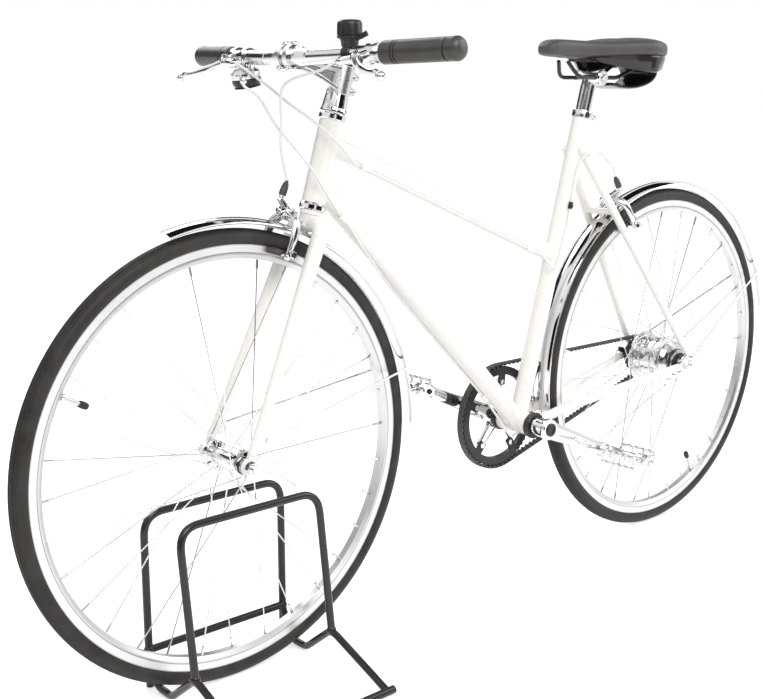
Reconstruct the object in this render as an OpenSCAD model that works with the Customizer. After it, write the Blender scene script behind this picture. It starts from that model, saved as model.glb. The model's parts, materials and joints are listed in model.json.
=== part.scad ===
// Step-through city bicycle with a belt drive, parked in a tubular wheel stand.
// The origin is on the floor under the middle of the bicycle.
// +X points forward, +Y to the rider's left and +Z up. All sizes are in millimetres.

/* [Wheels] */
// Distance between the two axles
wheelbase = 1035; // [1000:1:1090]
// Diameter on which the tyre's beads sit
rim_seat_d = 622; // [600:1:640]
// Width and height of the tyre
tyre_w = 28; // [25:1:32]
// Outer width of the rim
rim_w = 20; // [19:0.5:24]
// Radial depth of the rim
rim_depth = 21; // [18:1:30]
// Spokes on each flange
flange_spokes = 16; // [12:2:20]
// Spoke thickness
spoke_d = 2; // [1.6:0.1:2.6]

/* [Hubs] */
// Width over the front axle's lock nuts
front_old = 100; // [98:1:110]
// Width over the rear axle's lock nuts
rear_old = 135; // [130:1:142]
// Axle diameter
axle_d = 10; // [9:0.5:12]
// Diameter of the front hub's flanges
front_flange_d = 43; // [38:1:60]
// Diameter of the rear hub's flanges
rear_flange_d = 101; // [90:1:110]
// Diameter of the rear hub's geared shell
rear_shell_d = 87; // [70:1:92]

/* [Frame] */
// Height of the wheel axles over the crank axle
bb_drop = 56; // [45:1:70]
// Distance from crank axle to rear axle
chainstay_l = 414; // [410:1:440]
// Angle of the seat tube to the floor
seat_angle = 74.2; // [72:0.1:76]
// Angle of the head tube to the floor
head_angle = 73; // [71:0.1:75]
// Length of the seat tube from the crank axle to its top
seat_tube_l = 567; // [530:1:600]
// Length of the head tube
head_tube_l = 125; // [110:1:150]
// Diameter of the seat tube
seat_tube_d = 31.8; // [31:0.1:35]
// Diameter of the dropped top tube
top_tube_d = 30; // [25:0.1:30.5]
// Diameter of the down tube
down_tube_d = 34.9; // [31:0.1:35.5]
// Diameter of the head tube
head_tube_d = 36.4; // [36:0.1:42]
// Distance along the seat tube at which the top tube joins it
top_tube_drop_at = 305; // [250:1:380]
// Diameter of the chainstays at the crank end
chainstay_d = 18; // [16:0.5:18.5]
// Diameter of the seatstays at the top
seatstay_d = 16; // [13:0.5:18]

/* [Fork] */
// Length from the axle's level to the crown race, along the steering axis
fork_l = 384; // [380:1:400]
// Offset of the axle in front of the steering axis
fork_rake = 50; // [42:1:55]
// Diameter of the steerer tube
steerer_d = 28.6; // [25.4:0.1:29]
// Diameter of the blades at the crown
blade_d = 25; // [24:0.5:30]
// Diameter of the blades at the tips
blade_tip_d = 14; // [12:0.5:18]

/* [Cockpit] */
// Reach of the stem in front of the steering axis
stem_l = 100; // [80:1:120]
// Width over the handlebar's grips
bar_w = 604; // [560:1:680]
// Distance by which the bar's ends are swept back
bar_sweep = 50; // [20:1:70]
// Height of the bar's ends over its middle
bar_rise = 7; // [0:1:30]
// Diameter of the bar at the grips
bar_d = 22.2; // [22:0.1:24]
// Diameter of the bar in the stem
bar_clamp_d = 25.4; // [25:0.1:32]
// Length of each grip
grip_l = 128; // [110:1:140]
// Diameter of the grips
grip_d = 32; // [29:0.5:36]
// Diameter of the seatpost
seatpost_d = 27.2; // [25:0.1:27.5]
// Length of seatpost above the seat tube
seatpost_up = 62; // [50:1:120]
// Length of the saddle
saddle_l = 272; // [255:1:285]
// Width of the saddle
saddle_w = 176; // [150:1:210]

/* [Drive] */
// Crank length
crank_l = 170; // [160:1:175]
// Angle of the forward crank above the horizontal
crank_tilt = 23.5; // [0:0.5:45]
// Teeth of the belt ring
ring_teeth = 55; // [46:1:56]
// Teeth of the rear sprocket
cog_teeth = 22; // [20:1:26]
// Tooth pitch of the belt
belt_pitch = 11; // [10.5:0.1:11.2]
// Width of the belt
belt_w = 11; // [9:0.5:12]
// Distance of the belt's middle from the middle of the bicycle
belt_line = 49; // [48.5:0.1:50]

/* [Mudguards] */
// Width of the mudguards
guard_w = 38; // [34:1:39]
// Gap between tyre and mudguard
guard_gap = 14; // [11:1:16]
// Sheet thickness
guard_t = 1.5; // [1.2:0.1:2]

/* [Stand] */
// Diameter of the stand's tube
stand_tube_d = 12; // [10:0.5:12.5]
// Height of the right hoop
right_hoop_h = 274; // [250:1:290]
// Height of the left hoop
left_hoop_h = 279; // [255:1:295]
// Reach of the feet to the left
stand_reach = 208; // [160:1:260]

/* [Hidden] */
$fn = 48;

// Finishes
cream = "ivory";
polished = "silver";
black = [0.09, 0.09, 0.1];
rubber = [0.16, 0.15, 0.16];
housing = "gainsboro";

// Knees of bent bars are this much thicker than the bar
knee = 1.04;

// Clearances
seat_gap = 0.1;
run_gap = 0.3;

// Wheels
wheel_r = rim_seat_d / 2 + tyre_w;
rim_out_r = rim_seat_d / 2 + 6;
rim_in_r = rim_out_r - rim_depth;
rim_well_r = rim_seat_d / 2 - 2;
rim_channel = rim_w - 5;
nipple_l = 13;
nipple_d = 4.2;
valve_l = 34;
valve_d = 6;
front_valve_at = 28.125;
rear_valve_at = 241.875;

// Mudguards: they start and end at these angles, counted from forward towards up
guard_in_r = wheel_r + guard_gap;
guard_out_r = guard_in_r + guard_t;
guard_crown_r = 30;
guard_edge_r = guard_out_r - guard_crown_r + sqrt(pow(guard_crown_r, 2) - pow(guard_w / 2, 2));
front_guard_from = 74;
front_guard_to = 182;
rear_guard_from = -12;
rear_guard_to = 170;
guard_stay_d = 4;

// Main points of the frame
rear_reach = -guard_out_r * cos(rear_guard_to);
front_hub = [(wheelbase + rear_reach - wheel_r) / 2, 0, wheel_r];
rear_hub = front_hub - [wheelbase, 0, 0];
bb = rear_hub + [sqrt(pow(chainstay_l, 2) - pow(bb_drop, 2)), 0, -bb_drop];
seat_dir = [-cos(seat_angle), 0, sin(seat_angle)];
head_dir = [-cos(head_angle), 0, sin(head_angle)];
head_fwd = [sin(head_angle), 0, cos(head_angle)];
seat_fwd = [sin(seat_angle), 0, cos(seat_angle)];
head_foot = front_hub - fork_rake * head_fwd;
left = [0, 1, 0];
function on_seat(t) = bb + t * seat_dir;
function on_head(s) = head_foot + s * head_dir;
function mirrored(p) = [p.x, -p.y, p.z];
function unit(v) = v / norm(v);

// Head tube and headset, as distances along the steering axis
cup_h = 12;
lower_cup_r = 20.5;
upper_cup_r = 20.5;
head_lo = fork_l + cup_h;
head_hi = head_lo + head_tube_l;
headset_top = head_hi + cup_h;
spacer_h = 27;
stem_lo = headset_top + 0.5 + spacer_h;
stem_h = 43;
steerer_top = stem_lo + stem_h;
head_wall = 2.2;

// Where the tubes meet
shell_r = 20;
shell_w = 68;
top_tube_head = on_head(head_hi - 34);
top_tube_seat = on_seat(top_tube_drop_at);
down_tube_head = on_head(head_lo + 31);

// Stays
stay_dir = unit(rear_hub - bb);
chainstay_y = guard_w / 2 + 1.5 + chainstay_d / 2;
chainstay_bend_at = 115;
chainstay_end_d = 15;
drop_t = 6;
drop_y = rear_old / 2;
seatstay_end_d = 13;
seatstay_lo = rear_hub + [2, 0, 26];
seatstay_hi = on_seat(seat_tube_l - 71);
seatstay_top_y = seat_tube_d / 2 + 2;
bridge_r = 6;

// Brakes: the pads bear on the rim's track, and the bolt sits above the mudguard
track_r = rim_out_r - 6;
brake_bolt_r = guard_out_r + 12;
arch_in = 26;
arch_out = 36;
arch_x = brake_bolt_r - (arch_in + arch_out) / 2;
arm_t = 9;
rear_arm_off = 38;
front_arm_off = 42;
pad_gap = 2;
pad_t = 6;
pad_l = 50;
pad_h = 9;

// Seatpost and saddle
post_top = seat_tube_l + seatpost_up;
post_in = 130;
rail_d = 7;
rail_y = 22;
clamp_c = on_seat(post_top);
saddle_nose_x = clamp_c.x + 128;
saddle_tail_x = saddle_nose_x - saddle_l;

// Cockpit
bar_mid = on_head(stem_lo + stem_h / 2 + 4) + stem_l * head_fwd;
bar_flat = 50;
bar_bulge = 26;
bar_bend = bar_mid + [0, bar_flat, 0];
bar_end = bar_mid + [-bar_sweep, bar_w / 2, bar_rise];
bar_dir = unit(bar_end - bar_bend);
function on_bar(d) = bar_end - d * bar_dir;
lever_at = grip_l + 16;

// Drive
ring_r = ring_teeth * belt_pitch / 2 / PI;
cog_r = cog_teeth * belt_pitch / 2 / PI;
belt_back = 2;
belt_tooth = 3.2;
tooth_gap = 0.5;
tooth_h = 2.6;
ring_w = belt_w - 2;
spider_r = 66;
spider_arms = 5;
spindle_r = 12;
crank_in = 66;
crank_t = 14;
pedal_in = crank_in + crank_t + 12;
pedal_w = 80;
pedal_l = 64;
pedal_h = 26;
pedal_axle_r = 4.5;
belt_span = norm(rear_hub - bb);
belt_lean = acos((ring_r - cog_r) / belt_span);
belt_from_bb = atan2(rear_hub.z - bb.z, rear_hub.x - bb.x);
belt_top_a = belt_from_bb - belt_lean;
belt_low_a = belt_from_bb + belt_lean;
cog_sweep = 2 * belt_lean;
ring_sweep = 360 - cog_sweep;
belt_run = belt_span * sin(belt_lean);
belt_ring_l = ring_r * ring_sweep * PI / 180;
belt_cog_l = cog_r * cog_sweep * PI / 180;
belt_l = belt_ring_l + belt_cog_l + 2 * belt_run;
belt_teeth = round(belt_l / belt_pitch);

// Stand, placed from the front wheel
stand_r = stand_tube_d / 2;
hoop_front = 117.5;
hoop_back = -128.5;
hoop_bend = 27;
right_hoop_y = -47.5;
left_foot_y = 78;
left_top_y = 47.5;
joint_z = 58;
cradle_right_y = -28;
cradle_left_y = 14;

// Cables
cable_d = 4;

// Places a shape's own Z axis on the line from a to b
module along(a, b) {
    d = b - a;
    translate(a) rotate([0, acos(d.z / norm(d)), atan2(d.y, d.x)]) children();
}

// Round bar from a to b, with a taper if r2 is given
module rod(a, b, r1, r2) {
    along(a, b) cylinder(h = norm(b - a), r1 = r1, r2 = is_undef(r2) ? r1 : r2);
}

// Ball at a with its poles on the line towards b
module ball(a, b, r) along(a, b) sphere(r);

// Round bar through a list of points, with a slightly swollen knee where it turns
module bent_rod(points, r, swell = knee) {
    for (i = [0 : len(points) - 2]) rod(points[i], points[i + 1], r);
    for (i = [1 : 1 : len(points) - 2])
        ball(points[i], points[i] + points[i + 1] - points[i - 1], swell * r);
}

// Turns a profile of radius and sideways place into a ring about a sideways axis
module about_axle() {
    rotate([-90, 0, 0]) rotate_extrude() children();
}

// Raises an outline drawn in X and Z to a plate between two sideways places
module side_plate(y0, y1) {
    translate([0, y1, 0]) rotate([90, 0, 0]) linear_extrude(y1 - y0) children();
}

// A copy on each side of the bicycle
module both_sides() {
    children();
    mirror([0, 1, 0]) children();
}

// Smooth curve through points, cut into short straight steps
function spline_at(p, i, u) =
    let (n = len(p) - 1,
         a = p[max(i - 1, 0)], b = p[i], c = p[min(i + 1, n)], d = p[min(i + 2, n)])
    0.5 * (2 * b + (c - a) * u + (2 * a - 5 * b + 4 * c - d) * u * u
           + (3 * b - a - 3 * c + d) * u * u * u);
function spline(p, steps) = concat(
    [for (i = [0 : len(p) - 2], k = [0 : steps - 1]) spline_at(p, i, k / steps)],
    [p[len(p) - 1]]);

// Direction of a path at point i, and a side vector carried along it without twist
function heading(path, i) = unit(path[min(i + 1, len(path) - 1)] - path[max(i - 1, 0)]);
function square_to(v, t) = unit(v - (v * t) * t);
function sides_along(path, v, i = 0) = i == len(path) ? []
    : let (e = square_to(v, heading(path, i))) concat([e], sides_along(path, e, i + 1));

// Tube swept along a smooth curve through the points
module cable(points, d = cable_d, steps = 3, sides = 8) {
    path = spline(points, steps);
    n = len(path);
    side = sides_along(path, [0.3, 0.5, 0.81]);
    rings = [for (i = [0 : n - 1])
        let (e = side[i], f = cross(heading(path, i), e))
        for (k = [0 : sides - 1])
            path[i] + d / 2 * (cos(360 * k / sides) * e + sin(360 * k / sides) * f)];
    walls = [for (i = [0 : n - 2], k = [0 : sides - 1])
        [i * sides + k, (i + 1) * sides + k,
         (i + 1) * sides + (k + 1) % sides, i * sides + (k + 1) % sides]];
    caps = [[for (k = [0 : sides - 1]) k], [for (k = [sides - 1 : -1 : 0]) (n - 1) * sides + k]];
    polyhedron(rings, concat(walls, caps), convexity = 6);
}

// Frame tubes
module head_tube_solid() rod(on_head(head_lo), on_head(head_hi), head_tube_d / 2);
module seat_tube_solid() rod(on_seat(0), on_seat(seat_tube_l), seat_tube_d / 2);
module shell_solid(r = shell_r, w = shell_w) {
    rod(bb - [0, w / 2, 0], bb + [0, w / 2, 0], r);
}

module head_tube() {
    color(cream) difference() {
        head_tube_solid();
        rod(on_head(head_lo - 1), on_head(head_hi + 1), head_tube_d / 2 - head_wall);
    }
}

module cup_profile(r, h) {
    b = steerer_d / 2 + run_gap;
    polygon([[b, 0], [r - 1.5, 0], [r, 1.5], [r, h - 4], [r - 2.5, h], [b, h]]);
}

module headset_cups() {
    color(polished) {
        along(on_head(fork_l + 0.5), on_head(head_lo))
            rotate_extrude() cup_profile(lower_cup_r, cup_h - 0.5);
        along(on_head(head_hi), on_head(headset_top)) rotate_extrude() cup_profile(upper_cup_r, cup_h);
    }
}

module top_tube() {
    color(cream) difference() {
        rod(top_tube_head, top_tube_seat, top_tube_d / 2);
        head_tube_solid();
        seat_tube_solid();
    }
}

module down_tube() {
    color(cream) difference() {
        rod(down_tube_head, bb, down_tube_d / 2);
        head_tube_solid();
        seat_tube_solid();
        shell_solid();
    }
}

module seat_tube() {
    color(cream) difference() {
        seat_tube_solid();
        shell_solid();
        rod(on_seat(seat_tube_l - post_in - 20), on_seat(seat_tube_l + 1), seatpost_d / 2 + seat_gap);
    }
}

module bottom_bracket_shell() {
    color(cream) difference() {
        shell_solid();
        shell_solid(cup_sleeve_r + seat_gap, shell_w + 2);
    }
}

cup_sleeve_r = 17;
cup_flange_r = 22;
cup_flange_w = 10.5;
module bottom_bracket_cups() {
    color(black) both_sides() translate(bb) about_axle() {
        b = spindle_r + run_gap;
        w = shell_w / 2;
        polygon([[b, w - 14], [cup_sleeve_r, w - 14], [cup_sleeve_r, w], [cup_flange_r, w],
                 [cup_flange_r, w + cup_flange_w - 1.5], [cup_flange_r - 1.5, w + cup_flange_w],
                 [b, w + cup_flange_w]]);
    }
}

// Left chainstay, running beside the mudguard and then out to the dropout
chainstay_from = bb + [0, chainstay_y, 0];
chainstay_bend = chainstay_from + chainstay_bend_at * stay_dir;
chainstay_to = rear_hub - 24 * stay_dir + [0, drop_y + drop_t / 2, 0];
module chainstays() {
    color(cream) both_sides() difference() {
        union() {
            rod(chainstay_from, chainstay_bend, chainstay_d / 2);
            ball(chainstay_bend, chainstay_to, knee * chainstay_d / 2);
            rod(chainstay_bend, chainstay_to, chainstay_d / 2, chainstay_end_d / 2);
        }
        translate(bb) about_axle() {
            w = shell_w / 2 - seat_gap;
            far = chainstay_y + chainstay_d;
            translate([0, -w]) square([shell_r, 2 * w]);
            translate([0, w]) square([cup_flange_r + 1, far - w]);
        }
        dropout_plate();
    }
}

module seatstay_rod() {
    hi = seatstay_hi + [0, seatstay_top_y, 0];
    rod(seatstay_lo + [0, drop_y + drop_t / 2, 0], hi, seatstay_end_d / 2, seatstay_d / 2);
    ball(hi, hi + seatstay_hi - seatstay_lo, knee * seatstay_d / 2);
}

module seatstays() {
    color(cream) both_sides() difference() {
        seatstay_rod();
        seat_tube_solid();
        dropout_plate();
    }
}

// Left dropout: a plate round the axle with tongues into both stays and an eye for the guard's stay
guard_eye = rear_hub + [-13, 0, 14];
module dropout_plate() {
    tongue_w = 11;
    side_plate(drop_y, drop_y + drop_t) difference() {
        union() {
            translate([rear_hub.x, rear_hub.z]) circle(17);
            translate([rear_hub.x, rear_hub.z]) rotate(atan2(-stay_dir.z, -stay_dir.x))
                translate([0, -tongue_w / 2]) square([38, tongue_w]);
            d = seatstay_hi - seatstay_lo;
            translate([seatstay_lo.x, seatstay_lo.z]) rotate(atan2(d.z, d.x))
                translate([-14, -tongue_w / 2]) square([28, tongue_w]);
            translate([guard_eye.x, guard_eye.z]) circle(6);
        }
        translate([rear_hub.x, rear_hub.z]) circle(axle_d / 2 + seat_gap);
        translate([guard_eye.x, guard_eye.z]) circle(guard_stay_d / 2 + seat_gap);
    }
}

module dropouts() {
    color(polished) both_sides() dropout_plate();
}

// Bridge between the seatstays, with the peg that holds the mudguard and the brake's bolt
bridge_rel = seatstay_lo - rear_hub;
bridge_dir = unit(seatstay_hi - seatstay_lo);
bridge_along = -bridge_rel * bridge_dir
    + sqrt(pow(bridge_rel * bridge_dir, 2) - bridge_rel * bridge_rel + pow(brake_bolt_r, 2));
bridge = seatstay_lo + bridge_along * bridge_dir;
rear_brake_at = atan2(bridge.z - rear_hub.z, bridge.x - rear_hub.x);
module seatstay_bridge() {
    color(cream) difference() {
        union() {
            rod(bridge - [0, bridge_y, 0], bridge + [0, bridge_y, 0], bridge_r);
            rod(rear_hub + guard_out_r * unit(bridge - rear_hub), bridge, 4);
        }
        both_sides() seatstay_rod();
    }
}
bridge_y = seatstay_top_y
    + (drop_y + drop_t / 2 - seatstay_top_y) * norm(seatstay_hi - bridge) / norm(seatstay_hi - seatstay_lo);

module seat_clamp() {
    h = 12;
    color(polished) difference() {
        union() {
            rod(on_seat(seat_tube_l - h), on_seat(seat_tube_l), seat_tube_d / 2 + 2.2);
            translate(on_seat(seat_tube_l - h / 2)) rotate([0, seat_angle - 90, 0])
                translate([-seat_tube_d / 2 - 5, 0, 0]) rotate([90, 0, 0])
                    cylinder(h = 20, r = h / 2 - 1, center = true);
        }
        rod(on_seat(0), on_seat(seat_tube_l + 1), seat_tube_d / 2);
        translate(on_seat(seat_tube_l - h / 2)) rotate([0, seat_angle - 90, 0])
            translate([-seat_tube_d, 0, 0]) cube([seat_tube_d, 2, 2 * h], center = true);
    }
}

module seatpost() {
    yoke_w = 58;
    color(polished) difference() {
        union() {
            rod(on_seat(seat_tube_l - post_in), clamp_c, seatpost_d / 2);
            rod(clamp_c - [0, yoke_w / 2, 0], clamp_c + [0, yoke_w / 2, 0], 14);
        }
        both_sides() rod(clamp_c + [-60, rail_y, 0], clamp_c + [60, rail_y, 0], rail_d / 2 + seat_gap);
        translate(clamp_c + [-60, -60, 9]) cube([120, 120, 30]);
    }
}

// Saddle: rails, a glossy shell with side skirts and a tail loop, and the pad on it
rail_knee = 1.18;
rail_points = [
    clamp_c + [-116, 35, 27.5],
    clamp_c + [-48, rail_y, 0],
    clamp_c + [58, rail_y, 0],
    clamp_c + [75, 10, 28]
];
module saddle_rails() {
    color(black) both_sides() bent_rod(rail_points, rail_d / 2, rail_knee);
}

// Half width, top and underside of the pad along its length, from tail to nose
function saddle_half(t) = saddle_w / 2
    * lookup(t, [[0, 0.36], [0.05, 0.72], [0.12, 0.92], [0.22, 1], [0.34, 0.93], [0.46, 0.66],
                 [0.58, 0.42], [0.72, 0.31], [0.86, 0.27], [0.95, 0.2], [1, 0.08]]);
function saddle_top(t) = lookup(t,
    [[0, 54], [0.05, 64], [0.14, 69], [0.25, 70], [0.42, 63], [0.6, 57], [0.8, 57], [0.95, 55], [1, 48]]);
function saddle_low(t) = shell_top + seat_gap
    + lookup(t, [[0, 8], [0.08, 1], [0.25, 0], [0.45, 1.5], [0.7, 0], [0.9, 1], [1, 8]]);
function saddle_x(t) = saddle_tail_x + saddle_l * t;
saddle_steps = [0, 0.05, 0.12, 0.22, 0.34, 0.46, 0.58, 0.72, 0.86, 0.95, 1];
function saddle_ring(t, sides) =
    let (w = saddle_half(t), lo = clamp_c.z + saddle_low(t), hi = clamp_c.z + saddle_top(t),
         mid = lo + 0.3 * (hi - lo))
    [for (k = [0 : sides - 1])
        let (a = 360 * k / sides, s = sin(a))
        [saddle_x(t), w * cos(a), mid + (s > 0 ? (hi - mid) * pow(s, 0.7) : -(mid - lo) * pow(-s, 0.5))]];
module saddle_pad() {
    sides = 20;
    n = len(saddle_steps);
    rings = [for (t = saddle_steps) for (p = saddle_ring(t, sides)) p];
    walls = [for (i = [0 : n - 2], k = [0 : sides - 1])
        [i * sides + k, i * sides + (k + 1) % sides,
         (i + 1) * sides + (k + 1) % sides, (i + 1) * sides + k]];
    caps = [[for (k = [sides - 1 : -1 : 0]) k], [for (k = [0 : sides - 1]) (n - 1) * sides + k]];
    color(rubber) polyhedron(rings, concat(walls, caps), convexity = 4);
}

// Shell under the pad: heights count from the rails' clamp
shell_top = 31.5;
shell_t = 4;
shell_inset = 8;
skirt_low = 9;
skirt_low_at = 83;
skirt_tail = 20;
skirt_front_at = 193;
loop_w = 88;
loop_t = 7;
loop_rx = 64;
loop_rz = 25;
loop_z = 8;
module saddle_plan(inset) {
    ts = [for (t = saddle_steps) if (t > 0 && t < 1) t];
    edge = [for (t = ts) [saddle_x(t), saddle_half(t) - inset]];
    polygon(concat(edge, [for (i = [len(edge) - 1 : -1 : 0]) [edge[i].x, -edge[i].y]]));
}

module saddle_base() {
    z = clamp_c.z;
    low = z + skirt_low - 1;
    rim = shell_top - shell_t - 1.5;
    far = saddle_w;
    color(black) difference() {
        union() {
            difference() {
                translate([0, 0, low]) linear_extrude(z + shell_top - low) saddle_plan(shell_inset);
                translate([0, 0, low - 1]) linear_extrude(z + shell_top - shell_t - low + 1)
                    saddle_plan(shell_inset + shell_t);
                side_plate(-far, far) polygon([
                    [saddle_tail_x - far, low - far], [saddle_tail_x - far, z + skirt_tail],
                    [saddle_tail_x + 27, z + skirt_tail], [saddle_tail_x + skirt_low_at, z + skirt_low],
                    [saddle_tail_x + skirt_front_at, z + rim], [saddle_nose_x + far, z + rim],
                    [saddle_nose_x + far, low - far]]);
            }
            side_plate(-loop_w / 2, loop_w / 2) translate([saddle_tail_x + loop_rx + 4, z + loop_z])
                polygon(concat(
                    [for (a = [120 : 10 : 300]) [loop_rx * cos(a), loop_rz * sin(a)]],
                    [for (a = [300 : -10 : 120])
                        [(loop_rx - loop_t) * cos(a), (loop_rz - loop_t) * sin(a)]]));
        }
        both_sides() bent_rod(rail_points, rail_d / 2 + seat_gap, rail_knee);
    }
}

// Side-pull brake in its own frame: X out from the axle, Y across the tyre, Z along the rim
module brake_place(hub, angle) {
    translate(hub) rotate([0, -angle, 0]) children();
}

function brake_point(hub, a, x, y, z) =
    hub + x * [cos(a), 0, sin(a)] + y * left + z * [-sin(a), 0, cos(a)];
eye_x = brake_bolt_r + 24;
barrel_y = 29;
barrel_end = eye_x + 10;
barrel_r = 4;
cable_seat = 0.3;

// Arms at a distance off in front of the bolt's seat, with dir giving the side
module brake_arms(dir, off) {
    z = dir * off;
    pad_x = sqrt(pow(track_r, 2) - pow(off, 2));
    translate([0, 0, z - arm_t / 2]) linear_extrude(arm_t) difference() {
        union() {
            translate([arch_x, 0]) intersection() {
                circle(arch_out);
                translate([0, -arch_out]) square([arch_out, 2 * arch_out]);
            }
            for (s = [-1, 1]) translate([pad_x - pad_h / 2, s > 0 ? arch_in : -arch_out])
                square([arch_x - pad_x + pad_h / 2 + 1, arch_out - arch_in]);
            polygon([[arch_x + arch_out - 8, -6], [eye_x + 2, barrel_y - 5], [eye_x + 2, barrel_y + 5],
                     [eye_x - 8, barrel_y + 5], [arch_x + arch_out - 14, 18]]);
        }
        translate([arch_x, 0]) circle(arch_in);
        translate([0, -arch_in]) square([arch_x, 2 * arch_in]);
    }
    // Pad holders reach in from the arms' tips
    for (s = [-1, 1]) {
        a = rim_w / 2 + pad_gap + pad_t;
        rod([pad_x, s * a, z], [pad_x, s * (arch_in + 2), z], 4.2);
        rod([pad_x, s * (arch_out - 1), z], [pad_x, s * (arch_out + 7), z], 5);
    }
    // Barrel that takes the cable
    rod([eye_x - 2, barrel_y, z], [barrel_end, barrel_y, z], barrel_r);
    // Head of the centre bolt
    rod([brake_bolt_r, 0, z], [brake_bolt_r, 0, z + dir * (arm_t / 2 + 8)], 6);
}

module brake_pads(dir, off) {
    rotate([0, -dir * asin(off / track_r), 0]) for (s = [-1, 1]) {
        y0 = s > 0 ? rim_w / 2 + pad_gap : -rim_w / 2 - pad_gap - pad_t;
        translate([track_r - pad_h / 2, y0, -pad_l / 2]) cube([pad_h, pad_t, pad_l]);
    }
}

// The bolts run on into the bridge and the crown
module rear_brake_arms() {
    color(polished) {
        brake_place(rear_hub, rear_brake_at) {
            brake_arms(1, rear_arm_off);
            difference() {
                rod([brake_bolt_r, 0, 0], [brake_bolt_r, 0, rear_arm_off], 4);
                rod([brake_bolt_r, -20, 0], [brake_bolt_r, 20, 0], bridge_r);
            }
        }
    }
}

module rear_brake_pads() {
    color(black) brake_place(rear_hub, rear_brake_at) brake_pads(1, rear_arm_off);
}

crown_bolt_s = sqrt(pow(brake_bolt_r, 2) - pow(fork_rake, 2));
crown_bolt = on_head(crown_bolt_s);
front_brake_at = atan2(crown_bolt.z - front_hub.z, crown_bolt.x - front_hub.x);
module front_brake_arms() {
    color(polished) {
        brake_place(front_hub, front_brake_at) mirror([0, 1, 0]) brake_arms(-1, front_arm_off);
        difference() {
            brake_place(front_hub, front_brake_at)
                rod([brake_bolt_r, 0, 0], [brake_bolt_r, 0, -front_arm_off], 4);
            crown_solid();
        }
    }
}

module front_brake_pads() {
    color(black) brake_place(front_hub, front_brake_at) brake_pads(-1, front_arm_off);
}

// Mudguards: crowned sheet, rolled round the wheel
module guard(hub, a0, a1) {
    translate(hub) rotate([90, 0, 0]) rotate([0, 0, a0]) rotate_extrude(angle = a1 - a0)
        intersection() {
            translate([guard_out_r - guard_crown_r, 0]) difference() {
                circle(guard_crown_r);
                circle(guard_crown_r - guard_t);
            }
            translate([guard_out_r - guard_crown_r, -guard_w / 2]) square([guard_crown_r, guard_w]);
        }
}

function guard_edge(hub, a) = hub + guard_edge_r * [cos(a), 0, sin(a)]
    + [0, guard_w / 2 + guard_stay_d / 2, 0];

module rear_mudguard() color(polished) guard(rear_hub, rear_guard_from, rear_guard_to);
module front_mudguard() color(polished) guard(front_hub, front_guard_from, front_guard_to);

// Wire stay with its bolt through the eye of a plate
module guard_stay(eye, plate_t, edge) {
    rod(eye, eye + [0, plate_t, 0], guard_stay_d / 2);
    rod(eye + [0, plate_t, 0], eye + [0, plate_t + 6, 0], guard_stay_d);
    rod(eye + [0, plate_t + 3, 0], edge, guard_stay_d / 2);
}

rear_stay_at = 155;
module rear_mudguard_stays() {
    color(polished) both_sides()
        guard_stay(guard_eye + [0, drop_y, 0], drop_t, guard_edge(rear_hub, rear_stay_at));
}

// Axles with their lock nuts, washers and wheel nuts
nut_r = 9.8;
nut_h = 8;
axle_out = 6;
module axle(hub, old, plate_t, lock_w, lock_r) {
    end = old / 2 + plate_t + nut_h + axle_out;
    translate(hub) {
        rod([0, -end, 0], [0, end, 0], axle_d / 2);
        both_sides() {
            rod([0, old / 2 - lock_w, 0], [0, old / 2, 0], lock_r);
            rod([0, old / 2 + plate_t, 0], [0, old / 2 + plate_t + 2, 0], nut_r + 2);
            rotate([-90, 0, 0]) translate([0, 0, old / 2 + plate_t + 2])
                cylinder(h = nut_h - 2, r = nut_r, $fn = 6);
        }
    }
}

module rear_axle() color(polished) axle(rear_hub, rear_old, drop_t, 2, 9);
module front_axle() color(polished) axle(front_hub, front_old, fork_drop_t, 4, 8);

// Shift arm between the sprocket and the right dropout
shift_arm_t = 6;
module hub_shift_arm() {
    y1 = -(drop_y - 2 - seat_gap);
    color(black) side_plate(y1, y1 + shift_arm_t) difference() {
        union() {
            translate([rear_hub.x, rear_hub.z]) circle(21);
            translate([rear_hub.x, rear_hub.z]) rotate(150) translate([0, -6]) square([40, 12]);
            translate([rear_hub.x, rear_hub.z]) rotate(20) translate([0, -5]) square([44, 10]);
        }
        translate([rear_hub.x, rear_hub.z]) circle(axle_d / 2 + seat_gap);
    }
}

// Belt loop: place and outward angle at a distance d round it, starting at the ring's underside
function belt_dir(a) = [cos(a), sin(a)];
function flat(p) = [p.x, p.z];
function belt_at(d, off) =
    d < belt_ring_l
        ? let (a = belt_low_a + d / ring_r * 180 / PI) flat(bb) + (ring_r + off) * belt_dir(a)
    : d < belt_ring_l + belt_run
        ? let (u = (d - belt_ring_l) / belt_run, n = belt_dir(belt_top_a))
          (flat(bb) + ring_r * n) * (1 - u) + (flat(rear_hub) + cog_r * n) * u + off * n
    : d < belt_ring_l + belt_run + belt_cog_l
        ? let (a = belt_top_a + (d - belt_ring_l - belt_run) / cog_r * 180 / PI)
          flat(rear_hub) + (cog_r + off) * belt_dir(a)
    : let (u = (d - belt_ring_l - belt_run - belt_cog_l) / belt_run, n = belt_dir(belt_low_a))
      (flat(rear_hub) + cog_r * n) * (1 - u) + (flat(bb) + ring_r * n) * u + off * n;

module drive_belt() {
    p = belt_l / belt_teeth;
    back = [for (i = [0 : 2 * belt_teeth - 1]) belt_at(i * p / 2, belt_back)];
    teeth = [for (i = [0 : belt_teeth - 1])
        for (c = [[0, -0.4], [0.18, -belt_tooth], [0.5, -belt_tooth], [0.68, -0.4]])
            belt_at((i + c[0]) * p, c[1])];
    color(black) side_plate(-belt_line - belt_w / 2, -belt_line + belt_w / 2)
        difference() {
            polygon(back);
            polygon(teeth);
        }
}

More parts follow.
